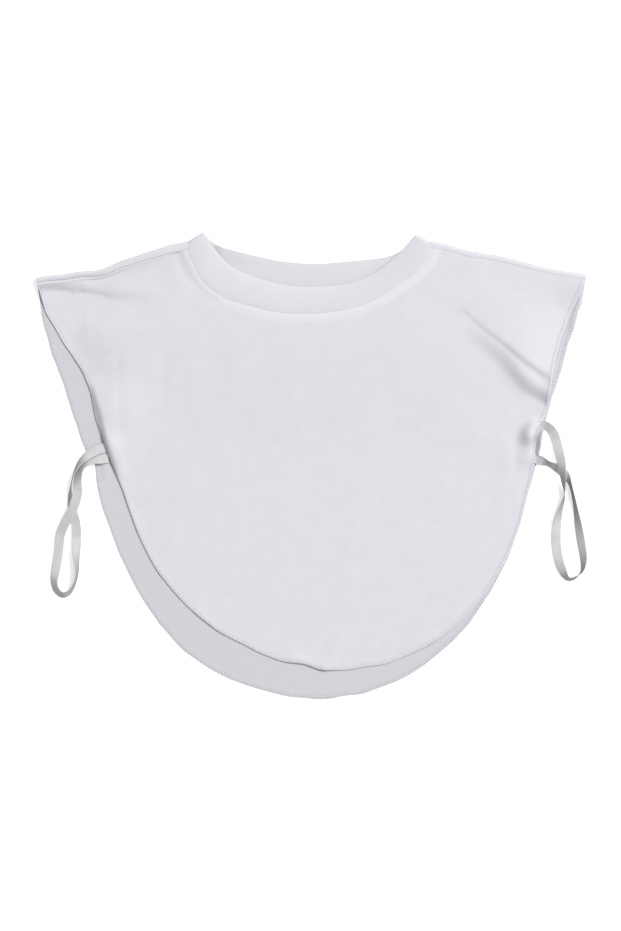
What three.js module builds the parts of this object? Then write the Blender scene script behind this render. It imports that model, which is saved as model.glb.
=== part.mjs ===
// A detachable crew-neck half-top of white jersey, laid flat with its front uppermost.
// Millimetres. +X is to the right of the garment as it lies, +Y towards its neck and +Z up.
// The origin is in the middle of the garment's outline, on the surface that it lies on.
import * as THREE from "three";

// Walls
const CLOTH_WALL = 1.1;
const BAND_WALL = 1.8;
const TAPE_WALL = 0.9;
const TAPE_WIDTH = 7;
const SEAM_GAP = 0.6;
const LAYER_GAP = 0.25;
const SHOULDER_GAP = 0.8;

// Hem and neck seam, which stand a little above the cloth
const HEM_HEIGHT = 0.4;
const HEM_WIDTH = 2.6;
const ALLOWANCE_HEIGHT = 0.7;
const ALLOWANCE_WIDTH = 6.5;

// Height from the back layer up to the front layer, at the neck and at the shoulder tips
const NECK_RISE = 6.1;
const TIP_RISE = 5.8;
const FOLD_DEPTH = 2.6;
const BACK_LEVEL = CLOTH_WALL / 2;

// The front layer comes down to lie on the back layer between these two lines
const DROP_TOP = 112;
const DROP_FOOT = -10;
const FRONT_REST = CLOTH_WALL + HEM_HEIGHT + LAYER_GAP + CLOTH_WALL / 2;

// Shoulders: each fold edge runs from the neckband to the tip, and the seam lies forward of it
const SHOULDERS = {
  left: {
    neck: new THREE.Vector2(-96.3, 169.4),
    tip: new THREE.Vector2(-209, 142),
    inward: new THREE.Vector2(0.25, -0.97).normalize(),
    seamAtNeck: 6.4,
    seamAtTip: 3.4,
    sway: [
      { along: 0, up: 0 },
      { along: 0.1, up: 0.3 },
      { along: 0.24, up: -0.8 },
      { along: 0.38, up: -2 },
      { along: 0.58, up: -5.2 },
      { along: 0.76, up: -2.6 },
      { along: 1, up: 0 },
    ],
  },
  right: {
    neck: new THREE.Vector2(94.2, 169),
    tip: new THREE.Vector2(209, 144.3),
    inward: new THREE.Vector2(-0.2, -0.98).normalize(),
    seamAtNeck: 4.6,
    seamAtTip: 3.4,
    sway: [
      { along: 0, up: 0 },
      { along: 0.08, up: 0.4 },
      { along: 0.22, up: -0.8 },
      { along: 0.42, up: 0.2 },
      { along: 0.75, up: -1.2 },
      { along: 1, up: 0 },
    ],
  },
};

// Front panel: where it meets the neckband and where its side or hem lies, from the left shoulder
// round the hem to the right shoulder
const FRONT_LINES = [
  { neckX: -93, neckY: 159, edgeX: -202, edgeY: 117 },
  { neckX: -90, neckY: 153.5, edgeX: -188, edgeY: 92.5 },
  { neckX: -87.2, neckY: 147.2, edgeX: -171.2, edgeY: 65.8 },
  { neckX: -83.8, neckY: 141.6, edgeX: -165, edgeY: 39.5 },
  { neckX: -79.4, neckY: 136.6, edgeX: -156.8, edgeY: 14 },
  { neckX: -72.4, neckY: 130.8, edgeX: -145.2, edgeY: -16.4 },
  { neckX: -62, neckY: 125.4, edgeX: -126.4, edgeY: -64.4 },
  { neckX: -46.5, neckY: 121, edgeX: -103.1, edgeY: -98.4 },
  { neckX: -31.5, neckY: 117, edgeX: -72.3, edgeY: -125.2 },
  { neckX: -15.5, neckY: 115, edgeX: -29.5, edgeY: -147 },
  { neckX: -6, neckY: 114.9, edgeX: -6.5, edgeY: -151.6 },
  { neckX: 3.5, neckY: 115, edgeX: 15.4, edgeY: -156.4 },
  { neckX: 23, neckY: 117.5, edgeX: 58.5, edgeY: -150.2 },
  { neckX: 38.5, neckY: 121.5, edgeX: 97.6, edgeY: -132 },
  { neckX: 53, neckY: 128, edgeX: 128.5, edgeY: -102.2 },
  { neckX: 65, neckY: 136, edgeX: 151, edgeY: -65.4 },
  { neckX: 73.5, neckY: 141.5, edgeX: 164, edgeY: -23 },
  { neckX: 77.5, neckY: 144.5, edgeX: 170, edgeY: 5 },
  { neckX: 80.5, neckY: 147.5, edgeX: 171, edgeY: 23.5 },
  { neckX: 84, neckY: 151, edgeX: 179.6, edgeY: 43 },
  { neckX: 88, neckY: 156, edgeX: 185.5, edgeY: 78.5 },
  { neckX: 90, neckY: 160.5, edgeX: 196.5, edgeY: 113 },
];

// Back panel: the same, for the layer that lies on the surface
const BACK_LINES = [
  { neckX: -92.5, neckY: 159.5, edgeX: -207.4, edgeY: 128.3 },
  { neckX: -81, neckY: 146.5, edgeX: -200.8, edgeY: 95.5 },
  { neckX: -68, neckY: 139, edgeX: -186.2, edgeY: 53.6 },
  { neckX: -56, neckY: 135.5, edgeX: -171.5, edgeY: 10 },
  { neckX: -50.5, neckY: 134.7, edgeX: -164.6, edgeY: 1 },
  { neckX: -45, neckY: 134, edgeX: -162.5, edgeY: -17.5 },
  { neckX: -34.5, neckY: 133, edgeX: -151.1, edgeY: -54.5 },
  { neckX: -24, neckY: 132, edgeX: -128.8, edgeY: -101.2 },
  { neckX: -14, neckY: 131.5, edgeX: -97.5, edgeY: -140 },
  { neckX: -4, neckY: 131.5, edgeX: -54.7, edgeY: -165.6 },
  { neckX: 5, neckY: 131.5, edgeX: 3.5, edgeY: -177.8 },
  { neckX: 14, neckY: 131.5, edgeX: 58.3, edgeY: -167.4 },
  { neckX: 24, neckY: 132, edgeX: 97.6, edgeY: -142.9 },
  { neckX: 34, neckY: 132.5, edgeX: 126.2, edgeY: -111.8 },
  { neckX: 43.5, neckY: 134, edgeX: 151.4, edgeY: -66.4 },
  { neckX: 54.5, neckY: 136, edgeX: 167, edgeY: -14 },
  { neckX: 60.5, neckY: 138, edgeX: 172.8, edgeY: 7 },
  { neckX: 66.5, neckY: 140.5, edgeX: 176.8, edgeY: 28 },
  { neckX: 78, neckY: 147.5, edgeX: 189.5, edgeY: 71.8 },
  { neckX: 89, neckY: 159.5, edgeX: 205.2, edgeY: 122.2 },
];

// Neckband: the fold at each side runs from the seam junction to the corner of its free edge
const BAND_FOLDS = {
  left: { seam: new THREE.Vector2(-94.5, 168.5), corner: new THREE.Vector2(-82.5, 176.2) },
  right: { seam: new THREE.Vector2(91.5, 168), corner: new THREE.Vector2(79.4, 175) },
};
const BAND_FRONT_EDGE = [
  { x: -74, y: 163.5 },
  { x: -62, y: 151 },
  { x: -41.5, y: 141.5 },
  { x: -19.5, y: 136 },
  { x: 5, y: 135 },
  { x: 26, y: 137 },
  { x: 45, y: 143.5 },
  { x: 59.5, y: 154 },
  { x: 70.5, y: 164 },
];
const BAND_BACK_EDGE = [
  { x: -70.5, y: 166 },
  { x: -45, y: 159 },
  { x: -20, y: 154 },
  { x: 5, y: 152.5 },
  { x: 31, y: 154.5 },
  { x: 56, y: 157.5 },
  { x: 71, y: 164 },
];

// Folds and dents of the front panel: soft ridges (height above 0) and creases (below 0), each
// along a line
const FOLDS = [
  { fromX: 119, fromY: 112, toX: 176, toY: 61, height: 2.6, width: 8 },
  { fromX: 116, fromY: 121, toX: 172, toY: 73, height: -1.6, width: 7 },
  { fromX: 127, fromY: 92, toX: 178, toY: 48, height: -2.2, width: 8 },
  { fromX: 162, fromY: 25, toX: 176, toY: 31, height: 1.7, width: 9 },
  { fromX: 172, fromY: 4.6, toX: 162, toY: 6, height: 2.2, width: 9 },
  { fromX: -202, fromY: 133, toX: -138, toY: 127, height: -1.8, width: 7 },
  { fromX: -200, fromY: 119, toX: -130, toY: 114, height: 1, width: 8 },
  { fromX: -168, fromY: 140, toX: -100, toY: 155, height: -1.5, width: 6 },
  { fromX: 34, fromY: -35, toX: 28, toY: -105, height: 1, width: 10 },
  { fromX: 148, fromY: 27, toX: 146, toY: -42, height: 1, width: 9 },
  { fromX: 22, fromY: -130, toX: 12, toY: -156, height: 1.5, width: 7 },
  { fromX: -157, fromY: 16, toX: -138, toY: 6, height: 2.4, width: 10 },
  { fromX: -160, fromY: 64, toX: -150, toY: 26, height: 2.4, width: 9 },
];

// Elastic tapes: the middle line of each, with the height that it lies on and its roll about that line
const LEFT_TAPE = [
  { x: -151, y: 13.6, rise: 1.7, roll: 0 },
  { x: -158, y: 12.8, rise: 1.8, roll: 0 },
  { x: -165.5, y: 10.2, rise: 2.2, roll: 8 },
  { x: -171.8, y: 5.8, rise: 2.1, roll: 36 },
  { x: -176.8, y: 0.6, rise: 0.6, roll: 62 },
  { x: -180.4, y: -6.5, rise: 0.1, roll: 80 },
  { x: -182.5, y: -16, rise: 0.1, roll: 80 },
  { x: -183.2, y: -25, rise: 0.1, roll: 56 },
  { x: -181.6, y: -34.5, rise: 0.1, roll: 22 },
  { x: -179.2, y: -45, rise: 0.1, roll: 10 },
  { x: -178.7, y: -57, rise: 0.1, roll: -6 },
  { x: -178.8, y: -69, rise: 0.1, roll: -46 },
  { x: -178.2, y: -80, rise: 0.1, roll: -72 },
  { x: -179.8, y: -89.5, rise: 0.1, roll: -78 },
  { x: -184, y: -96.6, rise: 0.1, roll: -64 },
  { x: -189, y: -98.7, rise: 0.1, roll: -54 },
  { x: -193.8, y: -95, rise: 0.1, roll: -50 },
  { x: -195.6, y: -88, rise: 0.1, roll: -42 },
  { x: -194.4, y: -79, rise: 0.1, roll: -14 },
  { x: -192.4, y: -66, rise: 0.1, roll: 0 },
  { x: -191, y: -53, rise: 1.2, roll: 0 },
  { x: -186.4, y: -42.5, rise: 4.6, roll: 0 },
  { x: -181, y: -33, rise: 7.1, roll: 0 },
  { x: -177.8, y: -22, rise: 6.9, roll: -8 },
  { x: -177.6, y: -11, rise: 2.6, roll: -34 },
  { x: -175.4, y: -2.6, rise: 0.9, roll: -46 },
  { x: -170.6, y: 2.6, rise: 1.7, roll: -38 },
  { x: -165, y: 3.9, rise: 1.8, roll: -34 },
  { x: -159.4, y: 4.5, rise: 1.7, roll: -12 },
  { x: -154.5, y: 5.2, rise: 1.7, roll: 0 },
];
const RIGHT_TAPE = [
  { x: 167, y: 22.6, rise: 1.7, roll: 0 },
  { x: 171.4, y: 27.6, rise: 1.6, roll: 2 },
  { x: 176, y: 30, rise: 1.7, roll: 8 },
  { x: 180.2, y: 28.6, rise: 1.7, roll: 28 },
  { x: 183.6, y: 24.6, rise: 1.2, roll: 18 },
  { x: 185.9, y: 19, rise: 1, roll: 8 },
  { x: 188.2, y: 9, rise: 3.8, roll: 12 },
  { x: 190, y: 0, rise: 6.3, roll: 34 },
  { x: 191, y: -8.5, rise: 5, roll: 54 },
  { x: 191.8, y: -15.5, rise: 1.8, roll: 74 },
  { x: 192.3, y: -21, rise: 0.3, roll: 90 },
  { x: 191.2, y: -27, rise: 0.1, roll: 108 },
  { x: 188.4, y: -36, rise: 0.1, roll: 128 },
  { x: 186.4, y: -46.5, rise: 0.1, roll: 164 },
  { x: 186, y: -58, rise: 0.1, roll: 180 },
  { x: 187.4, y: -69.5, rise: 0.1, roll: 188 },
  { x: 190.2, y: -79, rise: 0.1, roll: 208 },
  { x: 194.8, y: -86.2, rise: 0.1, roll: 246 },
  { x: 200.6, y: -85.4, rise: 0.1, roll: 256 },
  { x: 205.8, y: -80.2, rise: 0.1, roll: 284 },
  { x: 206.8, y: -71, rise: 0.1, roll: 312 },
  { x: 205.2, y: -60, rise: 0.1, roll: 324 },
  { x: 203.4, y: -49, rise: 0.1, roll: 320 },
  { x: 201.4, y: -37, rise: 0.1, roll: 300 },
  { x: 199.5, y: -26, rise: 0.1, roll: 286 },
  { x: 196.6, y: -14.5, rise: 0.1, roll: 288 },
  { x: 192.4, y: -6.8, rise: 0.1, roll: 332 },
  { x: 186.4, y: -2, rise: 0.1, roll: 322 },
  { x: 180, y: 1.2, rise: 0.4, roll: 302 },
  { x: 175, y: 3.2, rise: 1.6, roll: 334 },
  { x: 170.6, y: 4.6, rise: 1.7, roll: 360 },
  { x: 167.8, y: 5.4, rise: 1.7, roll: 360 },
];

// How finely the surfaces are divided
const FRONT_STATIONS = 53;
const FRONT_ACROSS = 13;
const BACK_STATIONS = 30;
const BACK_ACROSS = 6;
const FOLD_STEPS = 6;
const BAND_STATIONS = 24;
const BAND_ACROSS = 3;
const TAPE_STATIONS = 56;
const TAPE_ACROSS = 2;

// Distances from the neck seam and from the outer edge at which each panel has a row of points
const NEAR_NECK = [0, 1, 3.2, 5.4, 7];
const NEAR_EDGE = [3.2, 2, 1, 0];

// A panel's first lines follow this much of its shoulder's sway, which fades over this share of
// the outline
const SWAY_SHARE = 0.8;
const SWAY_FADE = 0.14;

const FINISHES = {
  front: { color: 0xe0e0e6, roughness: 0.95, metalness: 0 },
  back: { color: 0xd4d4db, roughness: 0.95, metalness: 0 },
  band: { color: 0xe2e2e9, roughness: 0.92, metalness: 0 },
  tape: { color: 0xd2d2d2, roughness: 0.85, metalness: 0 },
};

const mix = THREE.MathUtils.lerp;
const clamp = THREE.MathUtils.clamp;
const ease = THREE.MathUtils.smoothstep;

// The smooth curve through the points of a table's two columns.
function curveOf(rows, columnX, columnY) {
  return new THREE.SplineCurve(rows.map((row) => new THREE.Vector2(row[columnX], row[columnY])));
}

// A value read from a table of {along, up} rows, eased from row to row.
function swayAt(rows, along) {
  const next = Math.max(1, rows.findIndex((row) => row.along >= along));
  const [low, high] = [rows[next - 1], rows[next]];
  return mix(low.up, high.up, ease(along, low.along, high.along));
}

// A bell of height 1 that is 0 at both ends of the width.
function bell(distance, width) {
  return Math.sin(Math.PI * clamp(distance / width, 0, 1)) ** 2;
}

// How far a shoulder's front layer lies above its back layer, along the shoulder.
function riseAt(along) {
  return mix(NECK_RISE, TIP_RISE, clamp(along, 0, 1));
}

// A point of a shoulder, this far forward of its fold edge.
function shoulderPoint(shoulder, along, forward) {
  const sway = swayAt(shoulder.sway, along);
  return shoulder.neck
    .clone()
    .lerp(shoulder.tip, along)
    .addScaledVector(shoulder.inward, forward - sway);
}

function seamForward(shoulder, along) {
  return mix(shoulder.seamAtNeck, shoulder.seamAtTip, along);
}

// How far one fold lifts the cloth at a point, from the point's distance to the fold's line.
function foldLift(fold, x, y) {
  const line = new THREE.Line3(
    new THREE.Vector3(fold.fromX, fold.fromY, 0),
    new THREE.Vector3(fold.toX, fold.toY, 0),
  );
  const here = new THREE.Vector3(x, y, 0);
  const distance = line.closestPointToPoint(here, true, new THREE.Vector3()).distanceTo(here);
  return fold.height * Math.exp(-((distance / fold.width) ** 2));
}

// The height of the middle of the front panel's cloth.
function frontHeight(x, y) {
  const tipShare = (Math.abs(x) - SHOULDERS.right.neck.x) / (SHOULDERS.right.tip.x - SHOULDERS.right.neck.x);
  const high = BACK_LEVEL + riseAt(tipShare);
  const base = mix(FRONT_REST, high, ease(y, DROP_FOOT, DROP_TOP));
  const lift = FOLDS.reduce((sum, fold) => sum + foldLift(fold, x, y), 0);
  return Math.max(FRONT_REST, base + lift);
}

// The distances from the neck at which one line of a panel has points.
function rowsAlong(length, innerCount) {
  const first = NEAR_NECK.at(-1);
  const last = length - NEAR_EDGE[0];
  const inner = Array.from({ length: innerCount }, (_, k) => mix(first, last, (k + 1) / (innerCount + 1)));
  return [...NEAR_NECK, ...inner, ...NEAR_EDGE.map((distance) => length - distance)];
}

// How far hem and seam allowance stand above the cloth, by distance from the edges.
function trimHeight(fromNeck, fromEdge) {
  return ALLOWANCE_HEIGHT * bell(fromNeck, ALLOWANCE_WIDTH) + HEM_HEIGHT * bell(fromEdge, HEM_WIDTH);
}

// One line of a panel, from neck to edge: points with the height of the trim on each.
function panelLine(start, end, innerCount, heightAt, shiftAt) {
  const length = start.distanceTo(end);
  return rowsAlong(length, innerCount).map((distance) => {
    const flat = start.clone().lerp(end, distance / length).add(shiftAt(distance / length));
    return {
      point: new THREE.Vector3(flat.x, flat.y, heightAt(flat.x, flat.y, distance / length)),
      trim: trimHeight(distance, length - distance),
    };
  });
}

// The lines of a panel between its shoulders. A shoulder's sway fades out over the first lines.
function panelLines(table, stations, innerCount, heightAt) {
  const neckCurve = curveOf(table, "neckX", "neckY");
  const edgeCurve = curveOf(table, "edgeX", "edgeY");
  return Array.from({ length: stations }, (_, i) => {
    const share = i / (stations - 1);
    const end = edgeCurve.getPoint(share);
    const start = neckCurve.getPoint(share);
    start.addScaledVector(end.clone().sub(start).normalize(), SEAM_GAP);
    const isLeft = 2 * i < stations;
    const shoulder = isLeft ? SHOULDERS.left : SHOULDERS.right;
    const fromShoulder = isLeft ? share : 1 - share;
    const nearness = SWAY_SHARE * clamp(1 - fromShoulder / SWAY_FADE, 0, 1) ** 2;
    const shiftAt = (along) =>
      shoulder.inward.clone().multiplyScalar(-nearness * swayAt(shoulder.sway, along));
    return panelLine(start, end, innerCount, heightAt, shiftAt);
  });
}

// One line along a shoulder: forward of the fold edge by the first function, as high as the second.
function shoulderLine(shoulder, innerCount, forwardAt, heightAt) {
  const length = shoulder.neck.distanceTo(shoulder.tip);
  return rowsAlong(length, innerCount).map((distance) => {
    const along = distance / length;
    const flat = shoulderPoint(shoulder, along, forwardAt(along));
    return {
      point: new THREE.Vector3(flat.x, flat.y, heightAt(along)),
      trim: trimHeight(distance, length - distance),
    };
  });
}

// The back panel's lines over a shoulder: from the seam on top, round the fold, to the back layer.
function shoulderFoldLines(shoulder) {
  const seam = shoulderLine(
    shoulder,
    BACK_ACROSS,
    (along) => seamForward(shoulder, along),
    (along) => BACK_LEVEL + riseAt(along),
  );
  const round = Array.from({ length: FOLD_STEPS + 1 }, (_, k) => {
    const turn = (Math.PI * k) / FOLD_STEPS;
    return shoulderLine(
      shoulder,
      BACK_ACROSS,
      () => FOLD_DEPTH * (1 - Math.sin(turn)),
      (along) => BACK_LEVEL + (riseAt(along) * (1 + Math.cos(turn))) / 2,
    );
  });
  return [seam, ...round];
}

// The front panel's line along a shoulder seam.
function frontSeamLine(shoulder) {
  const forwardAt = (along) => seamForward(shoulder, along) + SHOULDER_GAP;
  return shoulderLine(shoulder, FRONT_ACROSS, forwardAt, (along) => BACK_LEVEL + riseAt(along));
}

// The neckband's lines, from its seam to its free edge, round the front and back of the neck.
function bandLines() {
  const backLevel = BAND_WALL / 2;
  const frontLevel = backLevel + NECK_RISE;
  const lines = [];
  const addLine = (seam, edge, height) => {
    const points = Array.from({ length: BAND_ACROSS + 1 }, (_, j) => {
      const share = j / BAND_ACROSS;
      const flat = seam.clone().lerp(edge, share);
      return { point: new THREE.Vector3(flat.x, flat.y, height), trim: 0 };
    });
    lines.push(points);
  };
  const outwardOf = (fold, side) => {
    const along = fold.corner.clone().sub(fold.seam).normalize();
    return new THREE.Vector2(-along.y, along.x).multiplyScalar(side);
  };
  const addFold = (fold, side, turnFrom, turnTo) => {
    for (let k = 0; k <= FOLD_STEPS; k += 1) {
      const turn = mix(turnFrom, turnTo, k / FOLD_STEPS);
      const shift = outwardOf(fold, side).multiplyScalar(FOLD_DEPTH * (Math.sin(turn) - 1));
      const height = backLevel + (NECK_RISE * (1 + Math.cos(turn))) / 2;
      addLine(fold.seam.clone().add(shift), fold.corner.clone().add(shift), height);
    }
  };
  const innerEnd = (fold, side, key) => {
    const end = fold[key].clone().addScaledVector(outwardOf(fold, side), -FOLD_DEPTH);
    return { neckX: end.x, neckY: end.y, x: end.x, y: end.y };
  };
  const addArc = (seamRows, edgeRows, height, fromRight) => {
    const ends = [[BAND_FOLDS.left, 1], [BAND_FOLDS.right, -1]];
    const withEnds = (rows, key) => [innerEnd(...ends[0], key), ...rows, innerEnd(...ends[1], key)];
    const seamCurve = curveOf(withEnds(seamRows, "seam"), "neckX", "neckY");
    const edgeCurve = curveOf(withEnds(edgeRows, "corner"), "x", "y");
    for (let i = 1; i < BAND_STATIONS; i += 1) {
      const share = fromRight ? 1 - i / BAND_STATIONS : i / BAND_STATIONS;
      addLine(seamCurve.getPointAt(share), edgeCurve.getPointAt(share), height);
    }
  };
  addArc(FRONT_LINES, BAND_FRONT_EDGE, frontLevel, false);
  addFold(BAND_FOLDS.right, -1, 0, Math.PI);
  addArc(BACK_LINES, BAND_BACK_EDGE, backLevel, true);
  addFold(BAND_FOLDS.left, 1, Math.PI, 0);
  return lines;
}

// A tape's lines, each across the tape, along its middle line.
function tapeLines(rows) {
  const route = curveOf(rows, "x", "y");
  const pose = curveOf(rows, "rise", "roll");
  return Array.from({ length: TAPE_STATIONS + 1 }, (_, i) => {
    const share = i / TAPE_STATIONS;
    const middle = route.getPoint(share);
    const heading = route.getTangent(share);
    const { x: rise, y: rollDegrees } = pose.getPoint(share);
    const roll = THREE.MathUtils.degToRad(rollDegrees);
    const halfHeight = (TAPE_WIDTH * Math.abs(Math.sin(roll)) + TAPE_WALL * Math.abs(Math.cos(roll))) / 2;
    const sideways = new THREE.Vector3(-heading.y, heading.x, 0).multiplyScalar(Math.cos(roll));
    sideways.z = Math.sin(roll);
    return Array.from({ length: TAPE_ACROSS + 1 }, (_, j) => ({
      point: new THREE.Vector3(middle.x, middle.y, rise + halfHeight).addScaledVector(
        sideways,
        TAPE_WIDTH * (j / TAPE_ACROSS - 0.5),
      ),
      trim: 0,
    }));
  });
}

// A closed wall of the given thickness about a grid of lines. Trim stands on its upper side.
function wallAbout(lines, wall, isRing = false) {
  const stations = lines.length;
  const across = lines[0].length;
  const at = (i, j) => {
    const row = isRing ? (i + stations) % stations : clamp(i, 0, stations - 1);
    return lines[row][clamp(j, 0, across - 1)];
  };
  const positions = [];
  for (const side of [1, -1])
    for (let i = 0; i < stations; i += 1)
      for (let j = 0; j < across; j += 1) {
        const alongLine = at(i, j + 1).point.clone().sub(at(i, j - 1).point);
        const acrossLines = at(i + 1, j).point.clone().sub(at(i - 1, j).point);
        const normal = alongLine.cross(acrossLines).normalize();
        const offset = side > 0 ? wall / 2 + at(i, j).trim : -wall / 2;
        positions.push(...at(i, j).point.clone().addScaledVector(normal, offset));
      }
  const lower = stations * across;
  const index = (i, j) => (i % stations) * across + j;
  const faces = [];
  const addQuad = (a, b, c, d) => faces.push(a, b, c, a, c, d);
  const spans = isRing ? stations : stations - 1;
  for (let i = 0; i < spans; i += 1)
    for (let j = 0; j < across - 1; j += 1) {
      const corners = [index(i, j), index(i, j + 1), index(i + 1, j + 1), index(i + 1, j)];
      addQuad(...corners);
      addQuad(...corners.reverse().map((corner) => corner + lower));
    }
  const addRim = (a, b) => addQuad(a, b, b + lower, a + lower);
  for (let i = 0; i < spans; i += 1) {
    addRim(index(i, 0), index(i + 1, 0));
    addRim(index(i + 1, across - 1), index(i, across - 1));
  }
  if (!isRing)
    for (let j = 0; j < across - 1; j += 1) {
      addRim(index(0, j + 1), index(0, j));
      addRim(index(stations - 1, j), index(stations - 1, j + 1));
    }
  const geometry = new THREE.BufferGeometry();
  geometry.setAttribute("position", new THREE.Float32BufferAttribute(positions, 3));
  geometry.setIndex(faces);
  geometry.computeVertexNormals();
  return geometry;
}

function addPiece(group, name, geometry, finish) {
  const mesh = new THREE.Mesh(geometry, new THREE.MeshStandardMaterial(finish));
  mesh.name = name;
  group.add(mesh);
}

const flatHeight = () => BACK_LEVEL;
const frontLines = [
  frontSeamLine(SHOULDERS.left),
  ...panelLines(FRONT_LINES, FRONT_STATIONS, FRONT_ACROSS, frontHeight),
  frontSeamLine(SHOULDERS.right),
];
const backLines = [
  ...shoulderFoldLines(SHOULDERS.left),
  ...panelLines(BACK_LINES, BACK_STATIONS, BACK_ACROSS, flatHeight),
  ...shoulderFoldLines(SHOULDERS.right).reverse(),
];

const halfTop = new THREE.Group();
addPiece(halfTop, "front_panel", wallAbout(frontLines, CLOTH_WALL), FINISHES.front);
addPiece(halfTop, "back_panel", wallAbout(backLines, CLOTH_WALL), FINISHES.back);
addPiece(halfTop, "neckband", wallAbout(bandLines(), BAND_WALL, true), FINISHES.band);
addPiece(halfTop, "elastic_loop_left", wallAbout(tapeLines(LEFT_TAPE), TAPE_WALL), FINISHES.tape);
addPiece(halfTop, "elastic_loop_right", wallAbout(tapeLines(RIGHT_TAPE), TAPE_WALL), FINISHES.tape);

export default halfTop;
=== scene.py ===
"""A detachable half-top of white jersey with a crew neckband, laid flat with its front uppermost.

Lengths are in millimetres until a mesh is made, which is in metres. +X is to the right of the
garment as it lies, +Y towards its neck and +Z up from the surface that it lies on.
"""
import logging
import math
from dataclasses import dataclass, field
from enum import Enum

import bpy
import numpy as np
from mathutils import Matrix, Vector


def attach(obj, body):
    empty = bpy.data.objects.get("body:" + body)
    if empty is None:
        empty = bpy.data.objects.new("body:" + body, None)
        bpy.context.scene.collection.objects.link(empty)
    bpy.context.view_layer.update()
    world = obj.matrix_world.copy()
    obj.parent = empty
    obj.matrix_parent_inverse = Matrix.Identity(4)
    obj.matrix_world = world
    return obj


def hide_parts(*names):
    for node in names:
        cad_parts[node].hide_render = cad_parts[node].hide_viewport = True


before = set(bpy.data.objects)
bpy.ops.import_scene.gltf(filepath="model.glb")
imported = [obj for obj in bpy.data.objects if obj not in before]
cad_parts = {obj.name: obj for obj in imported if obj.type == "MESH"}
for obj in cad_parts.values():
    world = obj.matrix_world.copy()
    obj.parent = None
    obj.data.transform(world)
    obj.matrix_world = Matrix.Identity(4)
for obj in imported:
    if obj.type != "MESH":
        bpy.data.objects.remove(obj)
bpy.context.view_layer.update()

log = logging.getLogger("half_top")

MM = 0.001
BODY = "root"
TINY = 1e-9
WHITE = (1.0, 1.0, 1.0, 1.0)

Colour = tuple[float, float, float]
Place = tuple[float, float]
StitchPoint = tuple[int, float, float]


class Face(Enum):
    """Which side of a cloth grid is the inside of the garment."""

    UPPER = 1
    LOWER = -1
    NEITHER = 0


@dataclass(frozen=True)
class Heights:
    """Heights of the middle of the cloth above the surface, and the reach of the layers.

    Attributes:
        back: the back layer, which lies on the surface.
        rest: the front layer where it lies on the back layer.
        neck_rise: from the back layer up to the front layer at the neck.
        tip_rise: the same at the shoulder tips.
        fold_depth: how far a shoulder's fold bulges.
        drop_top: the line above which the front layer is at its full height.
        drop_foot: the line below which the front layer rests on the back layer.
        settle: how softly the front layer comes to rest.
    """

    back: float = 0.45
    rest: float = 1.35
    neck_rise: float = 5.6
    tip_rise: float = 4.8
    fold_depth: float = 1.9
    drop_top: float = 112.0
    drop_foot: float = -10.0
    settle: float = 0.22

    def rise(self, along: np.ndarray) -> np.ndarray:
        """The height from back layer to front layer along a shoulder, from neck to tip."""
        return mix(self.neck_rise, self.tip_rise, np.clip(along, 0.0, 1.0))


HEIGHTS = Heights()


def mix(low: np.ndarray, high: np.ndarray, share: np.ndarray) -> np.ndarray:
    """The value this share of the way from low to high."""
    return low + (high - low) * share


def ease(value: np.ndarray, low: np.ndarray, high: np.ndarray) -> np.ndarray:
    """0 below low, 1 above high and a smooth step between them."""
    share = np.clip((value - low) / (high - low), 0.0, 1.0)
    return share * share * (3.0 - 2.0 * share)


def bell(distance: np.ndarray, width: float) -> np.ndarray:
    """A bell of height 1 that is 0 at both ends of the width."""
    return np.sin(np.pi * np.clip(distance / width, 0.0, 1.0)) ** 2


def eased(table: tuple[Place, ...], along: np.ndarray) -> np.ndarray:
    """Values from a table, eased from row to row.

    Args:
        table: rows of a place and its value.
        along: the places to look up.

    Returns:
        The value at each place.
    """
    places, values = np.array(table).T
    high = np.clip(np.searchsorted(places, along), 1, len(places) - 1)
    return mix(values[high - 1], values[high], ease(along, places[high - 1], places[high]))


def unit(vectors: np.ndarray) -> np.ndarray:
    """Vectors of length 1 along the given ones."""
    return vectors / np.maximum(np.linalg.norm(vectors, axis=-1, keepdims=True), TINY)


class Curve:
    """A smooth curve through given points, in any number of dimensions."""

    fine_steps = 2400

    def __init__(self, points: np.ndarray) -> None:
        """Keeps the points.

        Args:
            points: one row for each point that the curve goes through.
        """
        self.points = np.asarray(points, float)

    def at(self, shares: np.ndarray) -> np.ndarray:
        """Points of the curve, at shares of its way counted in points.

        Args:
            shares: from 0 at the first point to 1 at the last.

        Returns:
            One row for each share.
        """
        last = len(self.points) - 1
        place = np.clip(shares, 0.0, 1.0) * last
        low = np.minimum(np.floor(place).astype(int), last - 1)
        step = (place - low)[..., None]
        before = self.points[np.maximum(low - 1, 0)]
        start = self.points[low]
        end = self.points[low + 1]
        after = self.points[np.minimum(low + 2, last)]
        start_pull = (end - before) / 2.0
        end_pull = (after - start) / 2.0
        cubic = 2.0 * (start - end) + start_pull + end_pull
        square = 3.0 * (end - start) - 2.0 * start_pull - end_pull
        return ((cubic * step + square) * step + start_pull) * step + start

    def evenly(self, shares: np.ndarray) -> np.ndarray:
        """Points of the curve, at shares of its length.

        Args:
            shares: from 0 at the first point to 1 at the last.

        Returns:
            One row for each share.
        """
        fine_shares = np.linspace(0.0, 1.0, self.fine_steps)
        fine = self.at(fine_shares)
        lengths = np.linalg.norm(np.diff(fine, axis=0), axis=1)
        travelled = np.concatenate([[0.0], np.cumsum(lengths)])
        return self.at(np.interp(shares * travelled[-1], travelled, fine_shares))


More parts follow.
